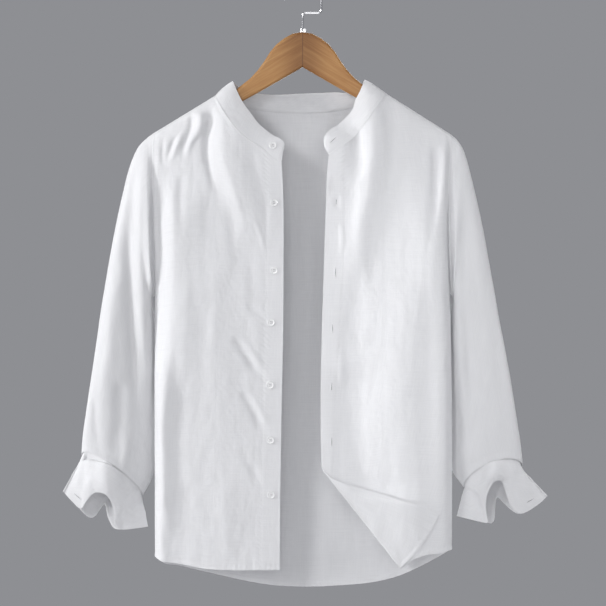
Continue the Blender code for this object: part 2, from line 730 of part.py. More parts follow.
def collar_top(rows, side, x):
    """The top edge's point above a place on the neckline."""
    top = [float(spline(side * x, rows["seam_x"], rows[name])) for name in ("top_x", "top_y", "top_z")]
    return np.array((side * top[0], top[1], top[2]))


def make_collar(material):
    columns = []
    directions = []
    for seam, out, top in collar_stations():
        foot = seam + unit(top - seam) * COLLAR_GAP
        columns.append(foot + (top - foot) * np.linspace(0, 1, COLLAR_ROWS + 1)[:, None])
        directions.append(out)
    return sheet("collar_band", np.array(columns), BAND, material,
                 fixed=[((slice(None), 0), np.array(directions))])


def cuff_grid(side):
    """Columns of the cuff from its front end round to its back end, from the sleeve to the rim."""
    halves = []
    for rim, start in ((CUFF_FRONT_RIM[side], 0.0), (CUFF_BACK_RIM[side], math.pi)):
        turn = np.linspace(0, 1, CUFF_COLUMNS_EACH + 1)
        angles = start + turn * math.pi
        end_ring = sleeve_ring(side, 1.0, angles)
        ring_before = sleeve_ring(side, 0.9, angles)
        up = unit(ring_before - end_ring)
        run = sleeve_ring(side, 1.0, angles + 0.1) - sleeve_ring(side, 1.0, angles - 0.1)
        inward = side * unit(np.cross(run, up))
        top = end_ring + up * CUFF_TUCK + inward * CUFF_INSET
        mouth = end_ring + inward * CUFF_INSET - up * 2 * MM
        stations = np.linspace(0, 1, len(rim["x"]))
        low = np.stack([spline(turn, stations, rim[name]) for name in "xyz"], axis=-1)
        low[:, 1] += CUFF_Y
        facing = -1 if start == 0 else 1
        rows = [top]
        for t in np.linspace(0, 1, CUFF_ROWS):
            bulge = facing * CUFF_BULGE * np.sin(math.pi * t) * np.sin(math.pi * turn)
            rows.append(mouth + (low - mouth) * t + bulge[:, None] * np.array((0, 1, 0)))
        halves.append(np.array(rows).swapaxes(0, 1))
    halves[0][0, :, 1] = np.minimum(halves[0][0, :, 1], halves[0][0, :, 1].mean() - 1.8 * MM)
    halves[1][-1, :, 1] = np.maximum(halves[1][-1, :, 1], halves[0][0, :, 1] + 3.6 * MM)
    return np.concatenate([halves[0], halves[1][1:]])


def make_cuff(side, material):
    return sheet("cuff_left" if side < 0 else "cuff_right", cuff_grid(side), BAND, material)


def make_button(name, place, out, material):
    """A turned disc with a raised rim, lying against the cloth."""
    r, h = BUTTON_RADIUS, BUTTON_THICKNESS
    profile = [(0, 0), (r * 0.86, 0), (r, h * 0.35), (r, h * 0.75), (r * 0.9, h), (r * 0.72, h * 0.8),
               (0, h * 0.75)]
    mesh = bmesh.new()
    line = [mesh.verts.new((x, 0, z)) for x, z in profile]
    edges = [mesh.edges.new(pair) for pair in zip(line, line[1:])]
    bmesh.ops.spin(mesh, geom=line + edges, axis=(0, 0, 1), cent=(0, 0, 0),
                   angle=2 * math.pi, steps=BUTTON_SIDES)
    bmesh.ops.remove_doubles(mesh, verts=mesh.verts, dist=1e-6)
    bmesh.ops.recalc_face_normals(mesh, faces=mesh.faces)
    button = finish(name, mesh, material)
    normal = np.asarray(out)
    button.location = place + normal * BUTTON_CLEARANCE
    button.rotation_mode = "QUATERNION"
    button.rotation_quaternion = Vector(normal).to_track_quat("Z", "Y")
    return button


def make_buttons(material):
    for n, (x, z) in enumerate(zip(FRONT_BUTTONS["x"], FRONT_BUTTONS["z"]), start=1):
        out = panel_normal(x, z, -1)
        place = np.array((x, panel_y(x, z, -1), z)) + out * CLOTH / 2
        make_button(f"button_front_{n}", place, out, material)
    seam, _ = collar_seam(-1, -1, -COLLAR_BUTTON_X)
    rise = collar_top(COLLAR_FRONT[-1], -1, seam[0]) - seam
    beside, _ = collar_seam(-1, -1, -COLLAR_BUTTON_X - 10 * MM)
    out = outward(beside - seam, rise, -1)
    make_button("button_collar", seam + rise * COLLAR_BUTTON_SHARE + out * BAND / 2, out, material)
    for side in (-1, 1):
        corners = cuff_grid(side)[-3:-1, -2:]
        out = outward(corners[1, 0] - corners[0, 1], corners[1, 1] - corners[0, 0], 1)
        name = "button_cuff_left" if side < 0 else "button_cuff_right"
        make_button(name, corners.mean(axis=(0, 1)) + out * BAND / 2, out, material)


def outward(along, across, face):
    """Square to two directions, towards the front (face -1) or the back (face 1)."""
    out = unit(np.cross(along, across))
    return out * face * np.sign(out[1])


def make_board(material):
    """The hanger's wooden arms, as an extruded outline with rounded edges."""
    top = list(zip(BOARD_TOP["x"], BOARD_TOP["z"]))
    outline = {}
    for side in (-1, 1):
        seated = np.linspace(BOARD_SEATED_FROM, BOARD_TIP, 4)
        under = np.linspace(BOARD_UNDER_SEAM, BOARD_UNDER_TIP, len(seated))
        arm = [(x, float(ridge_z(side * x)) - drop) for x, drop in zip(seated, under)]
        tip_x, tip_z = arm[-1]
        end = [(tip_x + 3 * MM, tip_z - 8 * MM), (tip_x - 4 * MM, tip_z - BOARD_ARM_DEPTH)]
        foot = list(zip(BOARD_FOOT["x"], BOARD_FOOT["z"]))[::-1]
        outline[side] = [(side * x, z) for x, z in top + arm + end + foot]
    ring = outline[1] + outline[-1][-2:0:-1]
    mesh = bmesh.new()
    corners = [mesh.verts.new((x, -BOARD_THICKNESS / 2, z)) for x, z in ring]
    face = mesh.faces.new(corners)
    grown = bmesh.ops.extrude_face_region(mesh, geom=[face])
    moved = [v for v in grown["geom"] if isinstance(v, bmesh.types.BMVert)]
    bmesh.ops.translate(mesh, verts=moved, vec=(0, BOARD_THICKNESS, 0))
    bmesh.ops.recalc_face_normals(mesh, faces=mesh.faces)
    board = finish("hanger_arms", mesh, material)
    bevel = board.modifiers.new("rounded_edges", "BEVEL")
    bevel.width = BOARD_BEVEL
    bevel.segments = 3
    bevel.limit_method = "ANGLE"
    bevel.angle_limit = math.radians(60)
    return board


def hook_path():
    """Centre line of the wire: up from the board, a jog to the right, then over to the left."""
    points = [(0, FERRULE_FOOT), (0, JOG_Z - 9 * MM)]
    bend = 5 * MM
    for a in np.linspace(math.pi, math.pi / 2, 5):
        points.append((bend + bend * math.cos(a), JOG_Z - bend + bend * math.sin(a)))
    for a in np.linspace(-math.pi / 2, 0, 5):
        points.append((HOOK_BEND - bend + bend * math.cos(a), JOG_Z + bend + bend * math.sin(a)))
    crown_z = WIRE_RADIUS - HOOK_BEND
    for a in np.linspace(0, math.pi, 17):
        points.append((HOOK_BEND * math.cos(a), crown_z + HOOK_BEND * math.sin(a)))
    points.append((-HOOK_BEND, crown_z - 10 * MM))
    return points


def make_hook(material):
    curve = bpy.data.curves.new("hook", "CURVE")
    curve.dimensions = "3D"
    curve.bevel_depth = WIRE_RADIUS
    curve.bevel_resolution = 2
    curve.use_fill_caps = True
    line = curve.splines.new("POLY")
    points = hook_path()
    line.points.add(len(points) - 1)
    for point, (x, z) in zip(line.points, points):
        point.co = (x, 0, z, 1)
    curve.materials.append(material)
    hook = bpy.data.objects.new("hanger_hook", curve)
    bpy.context.scene.collection.objects.link(hook)
    return hook


def make_ferrule(material):
    """The metal ring round the wire where it enters the board."""
    profile = [(WIRE_RADIUS + SEAM_GAP, FERRULE_FOOT), (FERRULE_RADIUS, FERRULE_FOOT),
               (FERRULE_RADIUS, FERRULE_TOP - 1 * MM), (FERRULE_RADIUS - 1 * MM, FERRULE_TOP),
               (WIRE_RADIUS + SEAM_GAP, FERRULE_TOP)]
    mesh = bmesh.new()
    line = [mesh.verts.new((x, 0, z)) for x, z in profile]
    edges = [mesh.edges.new(pair) for pair in zip(line, line[1:] + line[:1])]
    bmesh.ops.spin(mesh, geom=line + edges, axis=(0, 0, 1), cent=(0, 0, 0),
                   angle=2 * math.pi, steps=FERRULE_SIDES)
    bmesh.ops.remove_doubles(mesh, verts=mesh.verts, dist=1e-6)
    bmesh.ops.recalc_face_normals(mesh, faces=mesh.faces)
    return finish("hanger_ferrule", mesh, material)


def main():
    for old in list(bpy.data.objects):
        bpy.data.objects.remove(old)
    linen = paint("white_linen", WHITE_LINEN, 0.85)
    for side in (-1, 1):
        make_front(side, linen)
        make_sleeve(side, linen)
        make_cuff(side, linen)
    make_back(linen)
    make_collar(linen)
    make_buttons(paint("button_white", BUTTON_WHITE, 0.35))
    make_board(paint("wood", WOOD, 0.45))
    steel = paint("steel", STEEL, 0.25, 1.0)
    make_ferrule(steel)
    make_hook(steel)


main()
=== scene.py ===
# A white linen shirt with a mandarin collar, open on a wooden hanger
import math

import bmesh
import bpy
import numpy as np
from mathutils import Matrix, Vector, noise


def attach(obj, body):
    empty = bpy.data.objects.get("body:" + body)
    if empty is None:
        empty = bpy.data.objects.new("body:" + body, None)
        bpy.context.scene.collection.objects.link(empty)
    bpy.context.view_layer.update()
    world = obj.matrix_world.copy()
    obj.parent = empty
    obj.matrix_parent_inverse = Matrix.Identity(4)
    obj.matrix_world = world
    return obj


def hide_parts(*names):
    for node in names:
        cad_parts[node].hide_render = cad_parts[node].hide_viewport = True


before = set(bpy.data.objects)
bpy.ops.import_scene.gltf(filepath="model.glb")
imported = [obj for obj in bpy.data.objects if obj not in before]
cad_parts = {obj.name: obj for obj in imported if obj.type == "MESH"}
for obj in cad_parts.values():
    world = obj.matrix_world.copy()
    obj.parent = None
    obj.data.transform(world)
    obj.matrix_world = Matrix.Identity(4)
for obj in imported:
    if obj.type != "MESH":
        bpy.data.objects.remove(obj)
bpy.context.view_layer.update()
bpy.ops.object.select_all(action="DESELECT")
mm = 0.001
print("frame loaded:", len(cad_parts), "nodes")

# ---- nodes that the materials are made of ----
def newMaterial(name):
    material = bpy.data.materials.new(name)
    material.use_nodes = True
    return material


def setSockets(tree, node, sockets):
    for key, value in sockets.items():
        if isinstance(value, bpy.types.NodeSocket):
            tree.links.new(value, node.inputs[key])
        else:
            node.inputs[key].default_value = value


def finish(tree, sockets):
    setSockets(tree, tree.nodes["Principled BSDF"], sockets)


def add(tree, kind, sockets, output=0, **settings):
    node = tree.nodes.new(kind)
    for key, value in settings.items():
        setattr(node, key, value)
    setSockets(tree, node, sockets)
    return node.outputs[output]


def compute(tree, operation, *values):
    return add(tree, "ShaderNodeMath", dict(enumerate(values)), operation=operation)


def mixed(tree, share, first, second, blend="MIX"):
    return add(tree, "ShaderNodeMix", {0: share, 6: first, 7: second}, 2, data_type="RGBA", blend_type=blend)


def ranged(tree, value, **limits):
    # limits by the first word and end, such as fromMin
    names = {"fromMin": "From Min", "fromMax": "From Max", "toMin": "To Min", "toMax": "To Max"}
    sockets = {names[key]: limit for key, limit in limits.items()}
    return add(tree, "ShaderNodeMapRange", {"Value": value, **sockets})


def bumped(tree, height, strength, depth, under=None):
    # depth in mm, over the normal of a coarser bump
    sockets = {"Height": height, "Strength": strength, "Distance": depth * mm}
    return add(tree, "ShaderNodeBump", {**sockets, "Normal": under} if under else sockets)


def stretched(tree, place, scale, detail, roughness=0.5, distortion=0.0):
    drawn = add(tree, "ShaderNodeMapping", {"Vector": place, "Scale": scale})
    return add(tree, "ShaderNodeTexNoise", {"Vector": drawn, "Scale": 1.0, "Detail": detail,
                                            "Roughness": roughness, "Distortion": distortion})


# ---- studio ----
studio = {
    "cameraPlace": (0.0006, -6.0, -0.5006),
    "viewWidth": 0.92718,  # metres across the picture at the shirt
    "backdrop": (0.2705, 0.2747, 0.2918),
    "floorZ": -1.35,
    "floorRadius": 1.1,
    "floorColour": (0.55, 0.55, 0.56, 1),
    "lights": [
        # name, place, aim, size, watts
        ("keyLight", (-2.2, -2.8, 1.1), (0, 0, -0.5), 1.0, 49),
        ("leftSideLight", (-3.5, -0.75, -0.2), (0, 0, -0.55), 0.9, 98),
        ("rightSideLight", (3.5, -0.9, -0.1), (0, 0, -0.55), 0.9, 40),
        ("frontLight", (0.5, -7.4, 0.3), (0, 0, -0.5), 4.0, 93),
        ("topLight", (-0.2, -0.9, 1.9), (0, 0, -0.4), 1.2, 9),
        ("lowLight", (0.1, -4.6, -2.7), (0, 0, -0.7), 2.6, 33),
        ("backLight", (0.6, 4.6, 0.6), (0, 0, -0.5), 3.0, 140),
    ],
    # a soft narrow spot on the right front
    "spot": {"place": (-0.9, -2.9, -0.3), "aim": (0.158, -0.04, -0.56), "angle": 21, "narrow": 0.125,
             "radius": 0.15, "watts": 250},
}


def addLamp(name, kind, place, aim, watts):
    light = bpy.data.lights.new(name, kind)
    light.energy = watts
    lamp = bpy.data.objects.new(name, light)
    bpy.context.scene.collection.objects.link(lamp)
    lamp.location = place
    lamp.rotation_euler = (Vector(aim) - Vector(place)).to_track_quat("-Z", "Y").to_euler()
    return lamp


def buildStudio():
    scene = bpy.context.scene
    scene.view_settings.view_transform = "Standard"
    scene.world = bpy.data.worlds.new("greyStudio")
    scene.world.use_nodes = True
    scene.world.node_tree.nodes["Background"].inputs["Color"].default_value = (*studio["backdrop"], 1)
    lens = bpy.data.cameras.new("camera")
    lens.lens = lens.sensor_width * -studio["cameraPlace"][1] / studio["viewWidth"]
    scene.camera = bpy.data.objects.new("camera", lens)
    scene.collection.objects.link(scene.camera)
    scene.camera.location = studio["cameraPlace"]
    scene.camera.rotation_euler = (math.pi / 2, 0, 0)
    for name, place, aim, size, watts in studio["lights"]:
        lamp = addLamp(name, "AREA", place, aim, watts)
        lamp.data.shape = "DISK"
        lamp.data.size = size
    spot = studio["spot"]
    lamp = addLamp("spotLight", "SPOT", spot["place"], spot["aim"], spot["watts"])
    lamp.data.spot_size = math.radians(spot["angle"])
    lamp.data.spot_blend = 1.0
    lamp.data.shadow_soft_size = spot["radius"]
    lamp.scale = (spot["narrow"], 1, 1)
    bpy.ops.mesh.primitive_circle_add(vertices=64, radius=studio["floorRadius"], fill_type="NGON",
                                      location=(0, 0, studio["floorZ"]))
    floor = bpy.context.object
    floor.name = "studioFloor"
    paint = newMaterial("paleFloor")
    finish(paint.node_tree, {"Base Color": studio["floorColour"], "Roughness": 0.8})
    floor.data.materials.append(paint)
    floor.select_set(False)


buildStudio()
print("studio ready")


# ---- materials ----
linen = {
    "thread": 0.62,  # mm from one thread to the next
    "light": (0.83, 0.832, 0.845, 1),
    "dark": (0.74, 0.742, 0.76, 1),
    "doubled": (0.88, 0.88, 0.89, 1),  # towards this where the cloth is folded over
    "doubledShare": 0.12,
    "cloudShare": 0.38,  # the rest of the tone follows the slubs
    "slubRange": (0.72, 1.28),
    "seeThrough": 0.26,
    # noise: scale across and down the cloth, detail, roughness
    "warpSlubs": ((1150, 26, 1), 2),  # long thick threads down the cloth
    "weftSlubs": ((22, 1050, 1), 2),  # and across it
    "crumples": ((95, 60, 1), 4, 0.62),
    "grain": ((330, 240, 1), 2, 0.6),
    "clouds": ((14, 9, 1), 3),
    # bump: strength, and depth in mm
    "weaveBump": (0.45, 0.10),
    "slubBump": (0.6, 0.2),
    "crumpleBump": (0.5, 0.8),
    "grainBump": (0.6, 0.16),
    "surface": {"Roughness": 0.88, "Specular IOR Level": 0.25, "Sheen Weight": 0.12, "Sheen Roughness": 0.5},
}


def linenMaterial():
    material = newMaterial("whiteLinen")
    tree = material.node_tree
    uv = add(tree, "ShaderNodeUVMap", {}, "UV", uv_map="weave")
    waves = []
    for way in "XY":
        turns = compute(tree, "MULTIPLY", add(tree, "ShaderNodeSeparateXYZ", {0: uv}, way),
                        math.pi / (linen["thread"] * mm))
        waves.append(compute(tree, "SINE", turns))
    noises = ("warpSlubs", "weftSlubs", "crumples", "grain", "clouds")
    warp, weft, crumples, grain, clouds = [stretched(tree, uv, *linen[name]) for name in noises]
    slubs = compute(tree, "ADD", warp, weft)
    streaks = ranged(tree, slubs, fromMin=linen["slubRange"][0], fromMax=linen["slubRange"][1])
    tone = compute(tree, "MULTIPLY", streaks, 1 - linen["cloudShare"])
    tone = compute(tree, "MULTIPLY_ADD", clouds, linen["cloudShare"], tone)
    colour = mixed(tree, tone, linen["dark"], linen["light"])
    folded = add(tree, "ShaderNodeUVMap", {}, "UV", uv_map="doubled")
    folded = add(tree, "ShaderNodeSeparateXYZ", {0: folded}, "X")
    colour = mixed(tree, compute(tree, "MULTIPLY", folded, linen["doubledShare"]), colour, linen["doubled"])
    normal = bumped(tree, compute(tree, "MULTIPLY", *waves), *linen["weaveBump"])
    normal = bumped(tree, slubs, *linen["slubBump"], normal)
    normal = bumped(tree, crumples, *linen["crumpleBump"], normal)
    normal = bumped(tree, grain, *linen["grainBump"], normal)
    finish(tree, {"Base Color": colour, "Normal": normal, **linen["surface"]})
    shader = tree.nodes["Principled BSDF"].outputs[0]
    glow = add(tree, "ShaderNodeBsdfTranslucent", {"Color": colour, "Normal": normal})
    both = add(tree, "ShaderNodeMixShader", {0: linen["seeThrough"], 1: shader, 2: glow})
    tree.links.new(both, tree.nodes["Material Output"].inputs["Surface"])
    return material


def speckledMaterial(name, patches, dark, light, surface, grain=None, grainBump=None, gloss=None):
    # patches and grain are the sockets of two noises, grainBump its strength and depth in mm, and
    # gloss the least and greatest roughness over the patches
    material = newMaterial(name)
    tree = material.node_tree
    place = add(tree, "ShaderNodeTexCoord", {}, "Object")
    cloud = add(tree, "ShaderNodeTexNoise", {"Vector": place, **patches})
    sockets = {"Base Color": mixed(tree, cloud, (*dark, 1), (*light, 1)), **surface}
    if grain:
        fine = add(tree, "ShaderNodeTexNoise", {"Vector": place, **grain})
        sockets["Normal"] = bumped(tree, fine, *grainBump)
    if gloss:
        sockets["Roughness"] = ranged(tree, cloud, toMin=gloss[0], toMax=gloss[1])
    finish(tree, sockets)
    return material


wood = {
    "slope": 31,  # degrees that the arms fall from the middle
    "boards": 0.31,  # metres between the places in the grain that the two boards are cut from
    "pale": (0.41, 0.225, 0.085, 1),
    "middle": (0.335, 0.165, 0.056, 1),
    "deep": (0.25, 0.11, 0.034, 1),
    "stops": (0.34, 0.49, 0.64),
    "stained": (0.62, 0.55, 0.50, 1),  # the middle of the hanger is this much darker
    "stainedTo": 0.046,  # metres from the middle
    "glue": (0.07, 0.03, 0.015, 1),
    # noise: scale, detail, roughness, distortion
    "fine": ((16, 260, 620), 4.0, 0.6, 0.3),
    "broad": ((7, 60, 95), 3.0, 0.6, 0.8),
    "pores": ((70, 900, 1500), 2.0, 0.6),
    "broadShare": 0.55,
    "grainBump": (0.2, 0.2),
    "surface": {"Specular IOR Level": 0.3, "Coat Weight": 0.05, "Coat Roughness": 0.25},
}


def woodMaterial():
    material = newMaterial("varnishedWood")
    tree = material.node_tree
    place = add(tree, "ShaderNodeTexCoord", {}, "Object")
    x, y, z = [add(tree, "ShaderNodeSeparateXYZ", {0: place}, way) for way in "XYZ"]
    across = compute(tree, "ABSOLUTE", x)
    # each arm is its own board: its grain runs along it, and the two boards differ
    board = compute(tree, "MULTIPLY_ADD", compute(tree, "SIGN", x), wood["boards"], y)
    folded = add(tree, "ShaderNodeCombineXYZ", {0: across, 1: board, 2: z})
    along = add(tree, "ShaderNodeMapping", {"Vector": folded,
                                            "Rotation": (0, math.radians(-wood["slope"]), 0)})
    fine, broad, pores = [stretched(tree, along, *wood[name]) for name in ("fine", "broad", "pores")]
    both = compute(tree, "MULTIPLY", fine, 1 - wood["broadShare"])
    both = compute(tree, "MULTIPLY_ADD", broad, wood["broadShare"], both)
    ramp = tree.nodes.new("ShaderNodeValToRGB")
    tree.links.new(both, ramp.inputs[0])
    stops = ramp.color_ramp.elements
    stops[0].position, stops[0].color = wood["stops"][0], wood["deep"]
    stops[1].position, stops[1].color = wood["stops"][2], wood["pale"]
    stops.new(wood["stops"][1]).color = wood["middle"]
    speck = ranged(tree, pores, fromMin=0.6, fromMax=0.74, toMax=0.3)
    grained = mixed(tree, speck, ramp.outputs[0], wood["deep"])
    stain = ranged(tree, across, fromMin=0.004, fromMax=wood["stainedTo"], toMin=1.0, toMax=0.0)
    stain.node.interpolation_type = "SMOOTHSTEP"
    grained = mixed(tree, stain, grained, mixed(tree, 1.0, grained, wood["stained"], "MULTIPLY"))
    # glued joint down the middle, where the two arms meet
    joint = ranged(tree, across, fromMin=0.0004, fromMax=0.0009, toMin=0.6, toMax=0.0)
    height = compute(tree, "SUBTRACT", both, joint)
    finish(tree, {"Base Color": mixed(tree, joint, grained, wood["glue"]),
                  "Normal": bumped(tree, height, *wood["grainBump"]),
                  "Roughness": ranged(tree, fine, toMin=0.34, toMax=0.5), **wood["surface"]})
    return material


whiteLinen = linenMaterial()
sewingThread = speckledMaterial(
    "sewingThread", {"Scale": 2600.0, "Detail": 1.0}, (0.66, 0.66, 0.68), (0.84, 0.84, 0.85),
    {"Roughness": 0.6}, {"Scale": 2600.0, "Detail": 1.0}, (0.5, 0.05))
# dark paint that stands in for the shade inside the buttonhole slits and the buttons' holes
paintedHoleShade = speckledMaterial(
    "paintedHoleShade", {"Scale": 1500.0, "Detail": 2.0}, (0.10, 0.10, 0.11), (0.22, 0.22, 0.23),
    {"Roughness": 0.9})
buttonPearl = speckledMaterial(
    "buttonPearl", {"Scale": 260.0, "Detail": 3.0, "Distortion": 0.6}, (0.64, 0.64, 0.65),
    (0.76, 0.76, 0.765), {"Roughness": 0.28, "Coat Weight": 0.15}, {"Scale": 1800.0, "Detail": 2.0},
    (0.2, 0.03))
polishedSteel = speckledMaterial(
    "polishedSteel", {"Scale": 90.0, "Detail": 3.0}, (0.62, 0.62, 0.64), (0.80, 0.80, 0.82),
    {"Metallic": 1}, gloss=(0.12, 0.26))
print("materials ready")


# ---- shapes shared by the cloth pieces ----
def table(columns, rows):
    return dict(zip(columns.split(), np.array(rows, float).T * mm))


def spline(at, knots, values):
    knots = np.asarray(knots, float)
    values = np.asarray(values, float)
    if knots[0] > knots[-1]:
        knots = knots[::-1]
        values = values[::-1]
    slopes = np.gradient(values, knots)
    at = np.clip(at, knots[0], knots[-1])
    i = np.clip(np.searchsorted(knots, at) - 1, 0, len(knots) - 2)
    span = knots[i + 1] - knots[i]
    t = (at - knots[i]) / span
    ease = t * t * (3 - 2 * t)
    return (values[i] * (1 - ease) + values[i + 1] * ease
            + span * t * (1 - t) * ((1 - t) * slopes[i] - t * slopes[i + 1]))


def eased(t):
    t = np.clip(t, 0, 1)
    return t * t * (3 - 2 * t)


def unit(vectors):
    return vectors / np.maximum(np.linalg.norm(vectors, axis=-1, keepdims=True), 1e-12)


foldEnds = {
    "short": 80 * mm,  # a fold that drops less than this is a short one
    "shortHead": 0.5,  # share of its drop over which a fold rises
    "head": 0.22,
    "foot": 0.45,  # and over which it fades out
}


def foldRelief(x, z, folds):
    # each fold: its path in mm from the top down, how far it stands out and its width to the left and
    # right in mm, and, where it ends short, the share of its drop over which it fades out
    total = np.zeros(np.shape(x))
    for path, rise, left, right, *ending in folds:
        spotX, spotZ = np.array(path, float).T * mm
        drop = spotZ[0] - spotZ[-1]
        t = (spotZ[0] - z) / drop
        middle = spline(z, spotZ, spotX)
        slope = (spline(z - mm, spotZ, spotX) - middle) / mm
        off = (x - middle) / np.sqrt(1 + np.clip(slope, -3, 3) ** 2)
        width = np.where(off < 0, left, right) * mm
        head = foldEnds["shortHead" if drop < foldEnds["short"] else "head"]
        fade = eased(t / head) * eased((1 - t) / (ending[0] if ending else foldEnds["foot"]))
        total += rise * mm * fade * np.exp(-((off / width) ** 2))
    return total


def rumple(grid, layers, seed):
    # unevenness of washed linen: each layer has a size across and down, and a height, in mm
    total = np.zeros(grid.shape[:2])
    flat = total.reshape(-1)
    for n, (across, down, height) in enumerate(layers):
        scale = np.array((1 / across, 1 / across, 1 / down)) / mm
        places = grid.reshape(-1, 3) * scale + seed + 17.3 * n
        flat += height * mm * np.array([noise.noise(place) for place in places])
    return total


def gridNormals(grid, closed=False):
    across = np.gradient(grid, axis=0)
    if closed:
        across[0] = across[-1] = (grid[1] - grid[-2]) / 2
    return unit(np.cross(across, np.gradient(grid, axis=1)))


def running(grid, axis):
    # distance along the rows or columns of a grid
    steps = np.linalg.norm(np.diff(grid, axis=axis), axis=-1)
    return np.insert(np.cumsum(steps, axis=axis), 0, 0, axis=axis)


def bump(distance, width):
    return np.exp(-((distance / (width * mm)) ** 2))


sideName = {-1: "Left", 1: "Right"}


def linked(name, mesh):
    piece = bpy.data.objects.new(name, mesh)
    bpy.context.scene.collection.objects.link(piece)
    bpy.context.view_layer.objects.active = piece
    piece.select_set(True)
    return piece


def turnFacesOut():
    bpy.ops.object.mode_set(mode="EDIT")
    bpy.ops.mesh.select_all(action="SELECT")
    bpy.ops.mesh.normals_make_consistent(inside=False)
    bpy.ops.object.mode_set(mode="OBJECT")


def declare(piece, slot, *nodes):
    piece.select_set(False)
    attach(piece, "root")
    if nodes:
        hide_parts(*nodes)


def clothPiece(name, grid, thickness, weave, doubled):
    # a sheet of cloth about a grid of points; thickness in mm at each point, weave in metres,
    # doubled 1 where the cloth is folded over
    points = grid.reshape(-1, 3)
    _, first, index = np.unique(np.round(points, 7), axis=0, return_index=True, return_inverse=True)
    index = index.reshape(grid.shape[:2])
    columns, rows = np.meshgrid(np.arange(grid.shape[0] - 1), np.arange(grid.shape[1] - 1), indexing="ij")
    corners = [(columns, rows), (columns + 1, rows), (columns + 1, rows + 1), (columns, rows + 1)]

    def atCorners(values, size):
        return np.stack([values[corner] for corner in corners], axis=2).reshape(-1, 4, size).tolist()

    layers = np.broadcast_to(doubled, grid.shape[:2])
    layers = np.stack([layers, np.full(grid.shape[:2], 0.5)], axis=-1)
    faces = []
    spots = []
    depths = []
    for quad, place, level in zip(atCorners(index, 1), atCorners(weave, 2), atCorners(layers, 2)):
        keep = [k for k in range(4) if quad[k] != quad[k - 1]]
        if len(keep) > 2:
            faces.append([quad[k][0] for k in keep])
            spots.extend(place[k] for k in keep)
            depths.extend(level[k] for k in keep)
    mesh = bpy.data.meshes.new(name)
    mesh.from_pydata(points[first].tolist(), [], faces)
    for layer, values in (("weave", spots), ("doubled", depths)):
        mesh.uv_layers.new(name=layer).data.foreach_set("uv", np.array(values).ravel())
    piece = linked(name, mesh)
    thick = np.broadcast_to(thickness, grid.shape[:2]).reshape(-1)[first]
    group = piece.vertex_groups.new(name="layers")
    levels = np.round(thick / thick.max(), 2)
    for level in np.unique(levels):
        group.add(np.flatnonzero(levels == level).tolist(), float(level), "REPLACE")
    wall = piece.modifiers.new("wall", "SOLIDIFY")
    wall.thickness = float(thick.max()) * mm
    wall.offset = 0
    wall.vertex_group = "layers"
    bpy.ops.object.modifier_apply(modifier="wall")
    turnFacesOut()
    bpy.ops.object.shade_smooth_by_angle(angle=math.radians(50))
    piece.data.materials.append(whiteLinen)
    return piece


sewing = {
    "pitch": 2.8,  # mm, this and the rest
    "length": 2.0,
    "width": 0.42,
    "height": 0.3,
    "dip": 0.4,  # the cloth sinks this much along a line of sewing
    "dipWidth": 1.4,
    "pucker": {"pitch": 7.5, "reach": 6.0, "height": 0.35},
    "doubledDipWidth": 1.0,
    "rim": 1.6,  # a doubled piece thickens over this from its rim
    "doubledPucker": {"pitch": 5.5, "reach": 2.5, "height": 0.14},
    "drift": (1.7, 31),  # the puckers' pitch wanders by so many radians, over so many mm
    "uneven": (0.4, 53, 2),  # and their height by this share, over so many mm, from this phase
}


def puckers(along, away, pitch, reach, height):
    # small ripples that a line of sewing pulls into the cloth
    drift, driftLength = sewing["drift"]
    share, shareLength, start = sewing["uneven"]
    phase = 2 * math.pi * along / (pitch * mm) + drift * np.sin(along / (driftLength * mm))
    uneven = 1 - share + share * np.sin(along / (shareLength * mm) + start)
    return height * mm * uneven * np.sin(phase) * np.exp(-np.abs(away) / (reach * mm))


def readAt(at, scale, lines):
    # the points of a line at given places along its scale
    return np.stack([np.interp(at, scale, column) for column in lines.T], axis=-1)


def stitchRow(points, outs, lift):
    # stitches along a line of points, on one face of the cloth; lift in mm
    steps = running(points, 0)
    at = (np.arange(int(steps[-1] / (sewing["pitch"] * mm))) + 0.5) * sewing["pitch"] * mm
    out = unit(readAt(at, steps, outs))
    run = unit(readAt(at + mm, steps, points) - readAt(at - mm, steps, points))
    side = unit(np.cross(run, out)) * sewing["width"] * mm / 2
    run = run * sewing["length"] * mm / 2
    top = out * sewing["height"] * mm / 2
    place = readAt(at, steps, points) + out * lift * mm
    return np.stack([place - run, place - side, place + top, place + side, place - top, place + run], axis=1)


def sewStitches(name, rows):
    stitches = np.concatenate([row for row in rows if len(row)])
    one = [(0, 2, 1), (0, 3, 2), (0, 4, 3), (0, 1, 4), (5, 1, 2), (5, 2, 3), (5, 3, 4), (5, 4, 1)]
    faces = np.array(one)[None] + np.arange(len(stitches))[:, None, None] * 6
    mesh = bpy.data.meshes.new(name)
    mesh.from_pydata(stitches.reshape(-1, 3).tolist(), [], faces.reshape(-1, 3).tolist())
    mesh.shade_smooth()
    mesh.materials.append(sewingThread)
    thread = linked(name, mesh)
    turnFacesOut()
    declare(thread, "linen")
    return thread


def seamRows(grid, normals, measure, distance, axis, wall):
    # stitches on both faces, where a measure along one axis of the grid has a given value
    line = []
    for n in range(grid.shape[1 - axis]):
        pick = (slice(None), n) if axis == 0 else (n, slice(None))
        scale = measure[pick]
        turn = -1 if scale[-1] < scale[0] else 1
        scale = scale[::turn]
        if scale[0] <= distance <= scale[-1]:
            line.append(readAt(distance, scale, np.hstack([grid[pick], normals[pick]])[::turn]))
    if len(line) < 2:
        return []
    points, outs = np.split(np.array(line), 2, axis=1)
    return [stitchRow(points, outs, wall / 2), stitchRow(points, -outs, wall / 2)]


def finishCloth(name, nodes, grid, normals, thickness, weave, doubled, seams, **cut):
    piece = clothPiece(name, grid, thickness, weave, doubled)
    declare(piece, "linen", *nodes)
    rows = [row for seam in seams for row in seamRows(grid, normals, *seam)]
    thread = sewStitches(name + "Sewing", rows)


